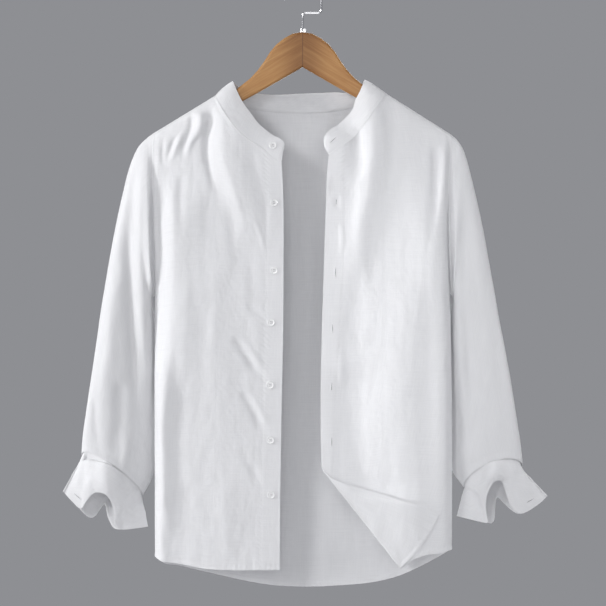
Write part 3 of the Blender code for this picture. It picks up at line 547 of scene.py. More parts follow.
def normalsTowards(grid, outward, closed=False):
    normals = gridNormals(grid, closed)
    return normals * (-1 if (normals * outward).sum() < 0 else 1)


clothLayers = [(32, 120, 1.6), (13, 34, 0.75), (5.2, 8, 0.26)]  # mm across, mm down, mm high


def dressPanel(grid, normals, bands, seed, even):
    # bands: distance of each point from a sewn edge, how wide its folded band is, distance along it,
    # and how much the sewing shows there
    raised = rumple(grid, clothLayers, seed) * even
    for away, width, along, shows in bands:
        raised = raised - sewing["dip"] * mm * bump(away - width, sewing["dipWidth"]) * shows
        raised = raised + puckers(along, away - width, **sewing["pucker"]) * shows
    return grid + normals * raised[..., None]


def doubledSewing(lines, along, dip, dipShare, puckerShare=1.0):
    # dips, in mm, and small puckers along the sewing of cloth in two layers
    raised = np.zeros(along.shape)
    for away, width in lines:
        raised -= dip * mm * bump(away - width, sewing["doubledDipWidth"]) * dipShare
        raised += puckers(along, away - width, **sewing["doubledPucker"]) * puckerShare
    return raised


def rimWall(sizes, rim):
    # thickness of a doubled piece, thinner at its rim
    return sizes["edgeWall"] + (sizes["wall"] - sizes["edgeWall"]) * eased(rim / (sewing["rim"] * mm))


# ---- body: two fronts and the back ----
body = {
    "shoulder": {
        -1: dict(neckX=134 * mm, neckZ=-184 * mm, tipX=227 * mm, tipZ=-240.5 * mm),
        1: dict(neckX=128 * mm, neckZ=-180.5 * mm, tipX=227 * mm, tipZ=-243 * mm),
    },
    "fullness": table("z front back", [(-180, 46, 34), (-400, 46, 37), (-650, 41, 34), (-940, 35, 30)]),
    "side": table("z Left Right", [(-242, 227, 227), (-300, 227, 223.5), (-488, 226.2, 225.5),
                                   (-650, 226.2, 228), (-940, 225.5, 228)]),
    "edge": table("z Left Right", [(-276, 32.6, 39.8), (-303, 31, 37.3), (-343, 29.4, 35.8),
                                   (-434, 29.1, 32.7), (-530, 29.5, 29.7), (-649, 31.8, 27.5),
                                   (-745, 33.4, 28.8), (-907, 35, 46), (-941, 35.2, 49.6)]),
    "neck": {
        -1: table("x z", [(32.6, -286.4), (44.4, -280.7), (62, -265.4), (86, -250), (105.6, -230.4),
                          (120.9, -208.4), (134, -184)]),
        1: table("x z", [(39.8, -275.7), (51, -268), (60.3, -261), (78, -248), (95.5, -226),
                         (110.8, -203.8), (128, -180.5)]),
    },
    "hems": {
        "Back": table("x z", [(-226.2, -887), (-218, -895.5), (-190, -903), (-160, -910.5), (-124, -919),
                              (-94, -926), (-50, -933.6), (0, -936.5), (63, -934), (116, -928),
                              (149, -919), (178, -906), (204, -892), (228, -877)]),
        "Left": table("x z", [(-226.2, -887), (-218, -893), (-200, -896.5), (-180, -899.5),
                              (-149, -905.3), (-119, -906.8), (-35, -906.7)]),
        "Right": table("x z", [(49.6, -941.2), (75, -936), (100, -928.5), (149.5, -903.4),
                               (168.8, -890), (190, -883.5), (214, -880.5), (228, -877)]),
    },
    "hemLevel": -900 * mm,
    "backNeckLow": -208.4 * mm,
    "backNeckPower": 2.5,
    "shoulderRound": 60 * mm,
    "sectionPower": 2.2,
    "bandFade": 0.8 * mm,  # over which a folded band thins out into single cloth
    "evenTop": 10 * mm,  # the cloth's unevenness grows over this below the top
    "evenSide": 8 * mm,  # and over this from the side seams
    "placketEven": (0.25, 12 * mm),  # its share on the placket, and where the rest has come in
    "foldsFrom": 22 * mm,  # the folds are whole where the panel is this deep
    "foldsTo": 60,  # power at which they end at the side seam
    "armholeShare": 0.384,
    "armholeOpen": 0.5,
    "seamGap": 0.3 * mm,
    "wall": 0.6,  # mm, single cloth
    "bandWall": 1.3,  # mm, folded cloth of the plackets and hems
    "placket": 30 * mm,
    "hem": 7 * mm,
    "placketSeam": 29 * mm,  # the line of stitches, from the edge
    "hemSeam": 6 * mm,
    "frontColumns": 98,
    "backColumns": 150,
    "columnRounding": 0.45,  # how much closer the columns lie towards the side seam
    "rowsAbove": 130,
    "rowPower": 1.4,  # the rows lie closer towards the shoulder
    "rowsBelow": 196,
}

# Path of each fold in mm from the top down, its height (below 0 a trough), and its width to either side
leftFrontFolds = [
    ([(-190, -290), (-194, -340), (-195, -450), (-198, -560), (-204, -640), (-208, -730)], 13, 17, 50),
    ([(-213, -560), (-216, -700), (-216, -800), (-216, -1000)], 15, 26, 16),
    ([(-118, -190), (-120, -240), (-118, -275), (-107, -314), (-92, -361), (-78, -430)], 10, 14, 42),
    ([(-141, -190), (-139, -220), (-144, -250), (-145, -271), (-139, -305), (-125, -350)], -5.5, 7, 6),
    ([(-158, -200), (-159, -237), (-172, -257), (-178, -285)], 4, 6, 6),
    ([(-169, -205), (-171, -237), (-180, -261), (-184, -290)], -4, 5, 4),
    ([(-187, -236), (-199, -262), (-208, -288)], -3, 5, 4),
    ([(-180, -232), (-193, -262), (-202, -290)], 2.6, 4, 4),
    ([(-212, -240), (-214, -270), (-213, -300)], -2, 4, 4),
    ([(-186, -300), (-187, -350), (-184, -400)], -2.2, 6, 7),
    ([(-150, -310), (-146, -361), (-158, -401), (-170, -447), (-178, -520)], -1.6, 18, 22),
    ([(-128, -370), (-131, -481), (-136, -588), (-148, -695), (-152, -800)], 2.2, 16, 20),
    ([(-118, -345), (-107, -393), (-102, -432), (-102, -480)], -1.5, 10, 13),
    ([(-93, -430), (-87, -481), (-88, -535)], 1, 9, 9),
    ([(-88, -258), (-68, -308), (-58, -361), (-55, -420)], -2, 10, 7),
    ([(-76, -365), (-63, -400), (-57, -430)], 1.5, 4, 4),
    ([(-98, -476), (-74, -508), (-50, -540)], -1.2, 7, 5),
    ([(-108, -548), (-78, -594), (-50, -632)], -2.8, 6, 8),
    ([(-98, -546), (-68, -588), (-50, -616)], 1.8, 6, 5),
    ([(-94, -628), (-70, -678), (-50, -716)], -2.4, 6, 8),
    ([(-84, -628), (-64, -665), (-50, -694)], 1.6, 5, 5),
    ([(-92, -715), (-78, -750), (-60, -790)], -1.6, 7, 7),
    ([(-170, -760), (-171, -830), (-172, -895)], -1.3, 12, 12),
    ([(-219, -800), (-213, -850), (-202, -893)], -3, 9, 9),
    ([(-120, -760), (-116, -830), (-112, -902)], 2, 16, 16),
]
rightFrontFolds = [
    ([(104, -150), (106, -205), (108, -236), (108, -266), (104, -305), (97, -343), (88, -396),
      (82, -450), (80, -520)], 11, 18, 20),
    ([(84, -215), (88, -260), (90, -289), (84, -312), (69, -326)], -4.5, 17, 5),
    ([(138, -170), (146, -232), (144, -266), (139, -305), (131, -343), (120, -380)], -4, 16, 12),
    ([(145, -192), (148, -215), (154, -250)], 1.4, 3.5, 6),
    ([(184, -236), (188, -266), (190, -305), (190, -343), (186, -396), (180, -450), (168, -526),
      (162, -603), (162, -680), (166, -725), (169, -800), (170, -1000)], 15, 52, 34, 0.12),
    ([(200, -236), (200, -266), (199, -318), (196, -372), (188, -450)], -4, 7, 7),
    ([(216, -244), (217, -298), (214, -350), (208, -400)], 10, 9, 8),
    ([(80, -420), (82, -500), (86, -590), (88, -660), (84, -740)], -3, 22, 15),
    ([(186, -470), (190, -540), (190, -621), (188, -720)], -1.2, 10, 10),
    ([(212, -330), (215, -440), (216, -590), (216, -760), (216, -1000)], 17, 26, 16),
    ([(62, -590), (72, -670), (78, -715), (84, -740), (94, -758), (113, -775), (138, -795),
      (152, -803)], -5.5, 24, 30, 0.14),
    ([(64, -776), (95, -789), (140, -800), (206, -813)], -2.4, 5, 5),
    ([(190, -690), (192, -770), (196, -860)], -1.3, 14, 14),
    ([(54, -330), (52, -346), (54, -364)], -1.6, 5, 5),
    ([(58, -372), (60, -400), (58, -430)], 1.6, 4, 5),
    ([(40, -300), (38, -322), (39, -342)], 1.8, 5, 5),
    ([(60, -560), (58, -600), (60, -640)], 1.4, 6, 5),
]
backFolds = [
    ([(-152, -196), (-158, -300), (-166, -430)], 5.5, 10, 13),
    ([(-120, -208), (-112, -330), (-100, -480)], -6, 12, 9),
    ([(-66, -222), (-72, -380), (-76, -580)], 5, 16, 20),
    ([(-20, -228), (-14, -430), (-12, -720)], -5, 13, 18),
    ([(28, -224), (36, -420), (44, -640)], 5, 18, 14),
    ([(94, -208), (96, -330), (90, -490)], -6, 9, 13),
    ([(140, -198), (150, -310), (162, -450)], 5.5, 13, 9),
    ([(-196, -250), (-198, -320), (-190, -400)], -3, 6, 6),
    ([(196, -250), (199, -330), (190, -410)], -3, 6, 6),
    ([(-180, -420), (-176, -640), (-172, -890)], -5, 12, 16),
    ([(-132, -500), (-128, -700), (-134, -915)], 5, 18, 14),
    ([(-68, -580), (-78, -760), (-84, -930)], -4.4, 14, 18),
    ([(8, -700), (14, -810), (10, -934)], 3.2, 16, 18),
    ([(68, -500), (76, -710), (84, -930)], 4.4, 16, 18),
    ([(122, -540), (118, -720), (110, -920)], -5, 18, 12),
    ([(180, -420), (174, -640), (176, -885)], 5, 13, 16),
    ([(-210, -520), (-204, -640), (-208, -760)], 3, 7, 9),
    ([(208, -500), (204, -600), (208, -700)], -2.6, 7, 7),
]
corner = {
    "foldStart": np.array((28.8, -745.3)) * mm,
    "foldEnd": np.array((149.5, -903.4)) * mm,
    "tip": np.array((49.6, -941.2)) * mm,
    "roll": 1.5 * mm,
    "rows": 92,
    "rollRows": 10,
    "sag": 12 * mm,  # how far the turned edge droops, most near the fold
    "sagPlace": 0.18,
    "lift": 3 * mm,  # how far the turned edge stands off near the fold
    "gap": 1.7 * mm,  # between the middles of the two layers where the corner lies flat
    "flatAfter": 30 * mm,
    "rollShare": 0.4,  # of the cloth past the fold, at most
    "standsTo": (20 * mm, 105 * mm, 60 * mm),  # rises over the first; is down by the second, over the third
    "swell": 0.3,  # share of the lift
    "swellLength": 19 * mm,
}


def bySide(x, left, right):
    return np.where(np.asarray(x) < 0, left, right)


def ridgeSlope(side):
    s = body["shoulder"][side]
    return (s["neckZ"] - s["tipZ"]) / (s["tipX"] - s["neckX"])


def ridgeZ(x):
    heights = [body["shoulder"][side]["neckZ"]
               - (np.abs(x) - body["shoulder"][side]["neckX"]) * ridgeSlope(side) for side in (-1, 1)]
    return bySide(x, *heights)


def sideX(side, z):
    return side * spline(z, body["side"]["z"], body["side"][sideName[side]])


def edgeX(side, z):
    return side * spline(z, body["edge"]["z"], body["edge"][sideName[side]])


def hemZ(side, face, x=None):
    hem = body["hems"]["Back" if face > 0 else sideName[side]]
    if x is None:
        x = side * body["side"]["Left"][0]
    return spline(x, hem["x"], hem["z"])


def armpitZ(side):
    tipZ = body["shoulder"][side]["tipZ"]
    return tipZ + body["armholeShare"] * (hemZ(side, 1) - tipZ)


def openShare(side, z):
    tipZ = body["shoulder"][side]["tipZ"]
    down = np.clip((tipZ - z) / (tipZ - armpitZ(side)), 0, 1)
    return body["armholeOpen"] * np.sqrt(1 - down * down)


def panelY(x, z, face, folded=True):
    x, z = np.broadcast_arrays(np.asarray(x, float), np.asarray(z, float))
    share = bySide(x, openShare(-1, z), openShare(1, z))
    side = bySide(x, -sideX(-1, z), sideX(1, z))
    across = np.clip(np.abs(x) / side, 0, 1)
    drop = np.maximum(ridgeZ(x) - z, 0)
    full = (spline(z, body["fullness"]["z"], body["fullness"]["front" if face < 0 else "back"])
            * np.sqrt(drop / (drop + body["shoulderRound"])))
    power = body["sectionPower"]
    depth = full * np.clip(1 - across**power * (1 - share**power), 0, 1) ** (1 / power)
    if folded:
        if face > 0:
            folds = foldRelief(x, z, backFolds)
        else:
            folds = bySide(x, foldRelief(x, z, leftFrontFolds), foldRelief(x, z, rightFrontFolds))
        depth = depth + folds * np.clip(full / body["foldsFrom"], 0, 1) * (1 - across ** body["foldsTo"])
    return face * (body["seamGap"] / 2 + depth)


def topZ(side, face, x):
    s = body["shoulder"][side]
    away = np.abs(x)
    if face < 0:
        neck = spline(away, body["neck"][side]["x"], body["neck"][side]["z"])
    else:
        rise = s["neckZ"] - body["backNeckLow"]
        neck = body["backNeckLow"] + rise * np.minimum(away / s["neckX"], 1) ** body["backNeckPower"]
    return np.where(away < s["neckX"] - 1e-6, neck, ridgeZ(x))


def rowShares():
    upper = body["armholeShare"] * np.linspace(0, 1, body["rowsAbove"] + 1) ** body["rowPower"]
    lower = np.linspace(body["armholeShare"], 1, body["rowsBelow"] + 1)
    return np.concatenate([upper, lower[1:]])


def widthShares(neckShare, count):
    # even to the neck point, then closer towards the side seam
    inner = round(count * neckShare)
    even = np.linspace(0, 1, count - inner + 1)
    outer = even + body["columnRounding"] * (np.sin(even * math.pi / 2) - even)
    return np.concatenate([np.linspace(0, neckShare, inner + 1), (neckShare + (1 - neckShare) * outer)[1:]])


def foldShare(point):
    x, z = point
    return float((x - edgeX(1, z)) / (sideX(1, z) - edgeX(1, z)))


def foldCrossing(share):
    low, high = 0.0, 1.0
    for _ in range(34):
        middle = (low + high) / 2
        if foldShare(corner["foldStart"] + middle * (corner["foldEnd"] - corner["foldStart"])) < share:
            low = middle
        else:
            high = middle
    return corner["foldStart"] + low * (corner["foldEnd"] - corner["foldStart"])


def frontGrid(side):
    s = body["shoulder"][side]
    edge = abs(edgeX(side, body["neck"][side]["z"][0]))
    shares = widthShares((s["neckX"] - edge) / (s["tipX"] - edge), body["frontColumns"])
    foot = foldShare(corner["foldEnd"])
    if side > 0:
        shares[np.argmin(np.abs(shares - foot))] = foot
    columns = []
    for share in shares:
        start = edgeX(side, body["neck"][side]["z"][0])
        headX = start + (side * s["tipX"] - start) * share
        footEdge = edgeX(side, body["hemLevel"])
        footX = footEdge + (sideX(side, body["hemLevel"]) - footEdge) * share
        footZ = hemZ(side, -1, footX)
        if side > 0 and share < foot + 1e-9:
            footZ = foldCrossing(share)[1]
        headZ = topZ(side, -1, headX)
        z = headZ + (footZ - headZ) * rowShares()
        x = edgeX(side, z) + (sideX(side, z) - edgeX(side, z)) * share
        columns.append(np.stack([x, z], axis=-1))
    x, z = np.moveaxis(np.array(columns), -1, 0)
    return np.stack([x, panelY(x, z, -1), z], axis=-1), shares


def turnedCorner(grid, shares):
    along = unit(corner["foldEnd"] - corner["foldStart"])
    beyond = np.array((along[1], -along[0])) * np.sign(np.cross(corner["tip"] - corner["foldStart"], along))
    foot = foldShare(corner["foldEnd"])
    rolled = math.pi * corner["roll"]
    turned = []
    for column, share in zip(grid, shares):
        if share > foot - 1e-9:
            turned.append(np.repeat(column[-1:], corner["rows"], axis=0))
            continue
        part = share / foot
        start = foldCrossing(share)
        endX = corner["tip"][0] + (corner["foldEnd"][0] - corner["tip"][0]) * part
        end = np.array((endX, float(hemZ(1, -1, endX))))
        reach = np.dot(end - start, beyond)
        tight = np.linspace(0, 1, corner["rollRows"] + 1)[1:] * min(rolled, reach * corner["rollShare"])
        loose = np.linspace(tight[-1], reach, corner["rows"] - corner["rollRows"] + 1)[1:]
        distance = np.concatenate([tight, loose])
        foots = start + np.outer(distance / reach, end - start) - np.outer(distance, beyond)
        turn = np.minimum(distance / corner["roll"], math.pi)
        out = corner["roll"] * np.sin(turn) - np.maximum(distance - rolled, 0)
        places = foots + np.outer(out, beyond)
        droop = distance / reach / corner["sagPlace"]
        places[:, 1] -= corner["sag"] * (1 - part) ** 2 * droop * np.exp(1 - droop)
        lift = corner["roll"] * (1 - np.cos(turn))
        lift = lift - (2 * corner["roll"] - corner["gap"]) * eased((distance - rolled) / corner["flatAfter"])
        # near the fold the turned edge stands off, and a soft swell runs across the cloth
        rises, ends, falls = corner["standsTo"]
        risen = eased((distance - rolled) / rises)
        stands = eased((ends - distance) / falls) * (1 - part) ** 1.4
        swell = corner["swell"] * np.sin(distance / corner["swellLength"] + 5 * part)
        swell = swell * eased(part / 0.25) * eased((1 - part) / 0.3)
        lift = lift + corner["lift"] * risen * (stands + swell)
        x, z = places.T
        turned.append(np.stack([x, panelY(x, z, -1) - lift, z], axis=-1))
    return np.array(turned)


def facingNormals(grid, face):
    # face -1 for a front, 1 for the back; the sign is read well inside the panel
    normals = gridNormals(grid)
    return normals * face * np.sign(normals[10:60, 50:200, 1].sum())


def foldedTo(distance, width):
    # 1 inside a folded band of that width and 0 past it
    return eased((width - distance) / body["bandFade"] + 0.5)


def panelWall(folded):
    return body["wall"] + (body["bandWall"] - body["wall"]) * folded


def unevenness(down, fromSeam):
    # share of the cloth's unevenness that shows, from none at the top and at the side seam
    return eased(down / body["evenTop"]) * eased(fromSeam / body["evenSide"])


def buildFront(side):
    grid, shares = frontGrid(side)
    if side > 0:
        grid = np.concatenate([grid, turnedCorner(grid, shares)], axis=1)
    fromEdge = running(grid, 0)
    down = running(grid, 1)
    fromHem = down[:, -1:] - down
    normals = facingNormals(grid, -1)
    least, grown = body["placketEven"]
    uneven = unevenness(down, fromEdge.max(axis=0, keepdims=True) - fromEdge)
    uneven = uneven * (least + (1 - least) * eased((fromEdge - body["placket"]) / grown))
    # past the fold the cloth shows its other face, so its unevenness turns round with it
    pastFold = np.arange(grid.shape[1]) - body["rowsAbove"] - body["rowsBelow"]
    pastFold = np.clip(pastFold / corner["rollRows"], 0, 1)
    facing = 1 - 2 * pastFold
    bands = [(fromEdge, body["placketSeam"], down, 1 - 0.85 * pastFold),
             (fromHem, body["hemSeam"], fromEdge, facing)]
    grid = dressPanel(grid, normals, bands, 3.1 + side, uneven * facing)
    folded = np.maximum(foldedTo(fromEdge, body["placket"]) * (1 - pastFold), foldedTo(fromHem, body["hem"]))
    weave = np.stack([fromEdge, down - down[0, 0] + (grid[0, 0, 2] - grid[:, :1, 2])], axis=-1)
    seams = [(fromEdge, body["placketSeam"], 0, body["bandWall"]),
             (fromHem, body["hemSeam"], 1, body["bandWall"])]
    finishCloth("clothFront" + sideName[side], ["front_" + sideName[side].lower()], grid, normals,
                panelWall(folded), weave, folded, seams, flat=(0.24, 0.76), area=0.15,
                rests_on=["hanger_arms"])
    return grid


def backGrid():
    halves = []
    for side in (-1, 1):
        s = body["shoulder"][side]
        halves.append(side * widthShares(s["neckX"] / s["tipX"], body["backColumns"] // 2))
    shares = np.concatenate([halves[0][:0:-1], halves[1]])
    columns = []
    for share in shares:
        side = -1 if share < 0 else 1
        headZ = topZ(side, 1, share * body["shoulder"][side]["tipX"])
        footZ = hemZ(side, 1, abs(share) * sideX(side, body["hemLevel"]))
        z = headZ + (footZ - headZ) * rowShares()
        columns.append(np.stack([abs(share) * sideX(side, z), z], axis=-1))
    x, z = np.moveaxis(np.array(columns), -1, 0)
    return np.stack([x, panelY(x, z, 1), z], axis=-1)


def buildBack():
    grid = backGrid()
    across = running(grid, 0)
    down = running(grid, 1)
    fromHem = down[:, -1:] - down
    normals = facingNormals(grid, 1)
    ends = np.minimum(across, across.max(axis=0, keepdims=True) - across)
    bands = [(fromHem, body["hemSeam"], across, 1.0)]
    grid = dressPanel(grid, normals, bands, 9.4, unevenness(down, ends))
    folded = foldedTo(fromHem, body["hem"])
    weave = np.stack([across, down - grid[:, :1, 2]], axis=-1)
    finishCloth("clothBack", ["back"], grid, normals, panelWall(folded), weave, folded,
                [(fromHem, body["hemSeam"], 1, body["bandWall"])], flat=(0.50, 0.76), area=0.35,
                rests_on=["hanger_arms"])


leftFront = buildFront(-1)
rightFront = buildFront(1)
buildBack()
print("body panels ready")

# ---- sleeves ----
sleeveColumns = "outerX outerZ innerX innerZ lift"
sleeve = {
    "outline": {
        -1: table(sleeveColumns, [
            (235.5, -246.5, 229.5, -494, 0), (248, -258, 229.5, -502, 0), (258, -275, 229, -513, 0),
            (267.8, -303, 227, -528, 0), (278.8, -350, 224, -549, 0), (290, -404, 222, -578, 0),
            (300.8, -465, 221.5, -614, 0), (309.5, -520, 221.5, -650, 2), (320, -592, 222, -690, 5),
            (331, -665, 225, -730, 9), (336.5, -705, 229.5, -765, 14), (338.5, -733, 245, -795, 18),
        ]),
        1: table(sleeveColumns, [
            (235, -250, 229.5, -491, 0), (242.5, -260, 229.5, -499, 0), (249, -275, 229, -510, 0),
            (257, -304, 227, -525, 0), (268, -350, 225.5, -546, 0), (279, -404, 224.5, -575, 0),
            (290, -465, 224, -611, 0), (299.5, -520, 224, -648, 3), (313.5, -592, 225, -690, 7),
            (325.5, -665, 227.5, -728, 13), (333, -715, 230.5, -760, 20), (337, -752, 246.5, -783, 25),
        ]),
    },
    "section": table("outerY innerY front back", [
        (1, 4, 19, 16), (2, 9, 22, 19), (3, 15, 24, 22), (4, 21, 25, 24), (4, 26, 26, 26),
        (4, 29, 26, 27), (4, 30, 25, 27), (4, 30, 24, 26), (4, 29, 23, 25), (4, 26, 22, 23),
        (5, 22, 21, 21), (6, 16, 19, 18)]),
    "around": 104,
    "along": 190,
    "flare": 1.6 * mm,  # how far the front of the sleeve's end stands off the cuff
    "flareLength": 12 * mm,
    "ringPower": 0.94,  # the rings lie closer towards the cuff
    "leadRings": 8,  # from the armhole to the first ring
    "armholeGap": 0.2 * mm,
    "foldsFrom": 14 * mm,  # the folds are whole this far from the armhole
    "wall": 0.6,  # mm
    "headSeam": 3 * mm,
    "endSeam": 2.2 * mm,
}
leftSleeveFolds = [
    ([(-246, -270), (-250, -343), (-249, -420), (-246, -500), (-240, -600), (-234, -690)], 5, 8, 8),
    ([(-236, -250), (-234, -343), (-232, -450), (-231, -560), (-234, -640), (-242, -710)], 11, 15, 5),
    ([(-266, -350), (-264, -475), (-260, -563), (-255, -649), (-247, -725)], -4.5, 9, 6),
    ([(-285, -440), (-297, -572), (-310, -690)], 3.2, 11, 13),
    ([(-279, -610), (-282, -680), (-291, -750)], -3.2, 9, 10),
    ([(-318, -640), (-316, -690), (-312, -740)], -2.2, 6, 7),
    ([(-268, -690), (-270, -730), (-278, -770)], 2.4, 6, 8),
    ([(-262, -280), (-272, -340), (-280, -410)], 2.6, 7, 9),
]
rightSleeveFolds = [
    ([(240, -256), (231, -290), (226, -330)], 2.6, 4, 5),
    ([(232, -300), (231, -450), (231, -560), (234, -640), (242, -710)], 11, 5, 16),
    ([(254, -320), (265, -435), (272, -560)], 3.4, 11, 12),
    ([(243, -480), (256, -603), (269, -715)], -3.6, 8, 10),
    ([(292, -520), (307, -649), (316, -745)], -2.8, 9, 7),
    ([(270, -630), (280, -690), (290, -745)], 2.8, 9, 10),
    ([(236, -560), (242, -640), (250, -730)], 2.2, 6, 7),
    ([(262, -270), (272, -330), (280, -400)], -2.2, 7, 8),
]
backSleeveFolds = [
    ([(250, -280), (258, -390), (252, -520)], -3.6, 7, 9),
    ([(268, -330), (276, -450), (284, -600)], 3.6, 9, 10),
    ([(240, -380), (244, -500), (250, -660)], 3, 7, 8),
    ([(264, -560), (276, -660), (290, -750)], -3.6, 9, 9),
    ([(300, -500), (310, -620), (320, -720)], 2.6, 8, 8),
    ([(240, -600), (250, -690), (266, -770)], -2.6, 7, 8),
]


def armholeRing(side, angles):
    tipZ = body["shoulder"][side]["tipZ"]
    z = tipZ + (armpitZ(side) - tipZ) * (1 - np.cos(angles)) / 2
    x = sideX(side, z)
    swing = np.sin(angles)
    y = np.where(swing > 1e-6, panelY(x, z, -1), np.where(swing < -1e-6, panelY(x, z, 1), 0))
    return np.stack([x + side * sleeve["armholeGap"], y, z], axis=-1)


def sleeveRing(side, length, angles):
    rows = {**sleeve["outline"][side], **sleeve["section"]}
    stations = np.linspace(0, 1, len(rows["outerX"]))
    row = {name: spline(length, stations, column) for name, column in rows.items()}
    across = (1 - np.cos(angles)) / 2
    swing = np.sin(angles)
    x = side * (row["outerX"] + (row["innerX"] - row["outerX"]) * across)
    z = row["outerZ"] + (row["innerZ"] - row["outerZ"]) * across + row["lift"] * np.maximum(swing, 0)
    y = row["outerY"] + (row["innerY"] - row["outerY"]) * across
    bulge = np.where(swing > 0, row["front"], row["back"])
    return np.stack([x, y - bulge * swing, z], axis=-1)


def sleeveGrid(side):
    angles = np.linspace(0, 2 * math.pi, sleeve["around"] + 1)
    lengths = np.linspace(0, 1, sleeve["along"] + 1) ** sleeve["ringPower"]
    rings = np.array([sleeveRing(side, length, angles) for length in lengths])
    # the first rings run on from the armhole, in one curve with the rest of the sleeve
    hole = armholeRing(side, angles)
    lead = np.linspace(0, 1, sleeve["leadRings"] + 1)[:-1]
    start = np.array([hole + (rings[0] - hole) * eased(t) for t in lead])
    rings = np.concatenate([start, rings])
    rings[:, -1] = rings[:, 0]
    grid = rings.swapaxes(0, 1)
    swing = np.sin(angles)[:, None]
    x, z = grid[..., 0], grid[..., 2]
    front = foldRelief(x, z, leftSleeveFolds if side < 0 else rightSleeveFolds)
    back = foldRelief(np.abs(x), z, backSleeveFolds)
    away = eased(running(grid, 1) / sleeve["foldsFrom"])
    shown = np.clip(np.abs(swing) * 1.4, 0, 1) * away
    grid[..., 1] += np.where(swing > 0, -front, back) * shown
    down = running(grid, 1)
    ending = eased(1 - (down[:, -1:] - down) / sleeve["flareLength"]) * np.clip(swing, 0, 1)
    grid[..., 1] -= sleeve["flare"] * ending
    return grid


def buildSleeve(side):
    grid = sleeveGrid(side)
    around = running(grid, 0)
    down = running(grid, 1)
    normals = normalsTowards(grid, grid - grid[:-1].mean(axis=0, keepdims=True), closed=True)
    even = eased(down / (12 * mm)) * np.sin(np.linspace(0, math.pi, len(grid)))[:, None] ** 0.3
    grid = dressPanel(grid, normals, [(down, sleeve["headSeam"], around, 1.0)], 21.7 + side, even)
    grid[-1] = grid[0]
    weave = np.stack(np.broadcast_arrays(around.mean(axis=1, keepdims=True), down), axis=-1)
    seams = [(down, sleeve["headSeam"], 1, sleeve["wall"]),
             (down[:, -1:] - down, sleeve["endSeam"], 1, sleeve["wall"])]
    node = "sleeve_" + sideName[side].lower()
    finishCloth("clothSleeve" + sideName[side], [node, node + "_forearm"], grid, normals, sleeve["wall"],
                weave, 0.0, seams, flat=(0.26, 0.50), area=0.11, rests_on=["clothFront" + sideName[side]])


for side in (-1, 1):
    buildSleeve(side)
print("sleeves ready")

# ---- collar ----
collarColumns = "seamX topX topY topZ"
collar = {
    "front": {
        -1: table(collarColumns, [
            (33.6, 28.6, -35, -264), (39, 28.4, -34.5, -257.5), (47, 32.5, -34, -252),
            (62, 46, -31, -244.5), (86, 66.7, -26.5, -227.5), (105.6, 80.5, -20, -210),
            (120.9, 93.5, -12.5, -190.3), (128.5, 100.5, -9.8, -176), (134, 106.3, -2, -162.4)]),
        1: table(collarColumns, [
            (40.6, 32.2, -35, -261), (44.5, 32.2, -34.5, -251.5), (51, 35.5, -34, -243.5),
            (60.3, 42, -31, -236.5), (78, 55, -26.5, -228), (95.5, 75.5, -20, -206.5),
            (110.8, 82, -12.5, -189), (121, 89.5, -10, -172.5), (128, 94.6, -2, -159.4)]),
    },
    "back": table(collarColumns, [
        (-134, -106.3, -2, -162.4), (-117, -98, 9.8, -169), (-92, -79, 13, -177.5),
        (-57, -52, 16, -181), (0, 0, 18, -179.2), (52, 48, 16, -177.6), (88, 70, 13, -177.5),
        (112, 88, 9.8, -168.5), (128, 94.6, -2, -159.4)]),
    "stations": 84,
    "backStations": 104,
    "rows": 20,
    "overSeam": 0.6 * mm,  # how far its foot reaches over the neckline
    "wall": 1.7,  # mm
    "edgeWall": 1.1,
    "middle": np.array((0, -12, 0)) * mm,
    "roll": 1.1 * mm,
    "layers": [(30, 30, 1.6), (9, 9, 0.5)],  # unevenness: mm across, mm down, mm high
    "topSeam": 2.4 * mm,
    "footSeam": 2 * mm,
    "dip": 0.4,  # mm, along the sewing
    "buttonX": -53 * mm,
    "slitX": 55 * mm,
}


def neckPoint(side, face, x):
    z = float(topZ(side, face, x))
    if abs(x) > body["shoulder"][side]["neckX"] - 0.01 * mm:
        return np.array((x, 0, z))
    return np.array((x, float(panelY(x, z, face)), z))


def collarTop(rows, side, x):
    top = [float(spline(side * x, rows["seamX"], rows[name])) for name in ("topX", "topY", "topZ")]
    return np.array((side * top[0], top[1], top[2]))


def collarGrid():
    stations = []
    for side in (-1, 1):
        first = abs(edgeX(side, body["neck"][side]["z"][0]))
        last = body["shoulder"][side]["neckX"]
        places = side * np.linspace(first, last, collar["stations"])
        stations.append([(neckPoint(side, -1, x), collarTop(collar["front"][side], side, x)) for x in places])
    ends = [-body["shoulder"][-1]["neckX"], body["shoulder"][1]["neckX"]]
    places = np.linspace(*ends, collar["backStations"])
    behind = [(neckPoint(-1 if x < 0 else 1, 1, x), collarTop(collar["back"], 1, x)) for x in places]
    run = stations[0] + behind[1:-1] + stations[1][::-1]
    columns = []
    for seam, top in run:
        foot = seam - unit(top - seam) * collar["overSeam"]
        columns.append(foot + (top - foot) * np.linspace(0, 1, collar["rows"] + 1)[:, None])
    return np.array(columns)


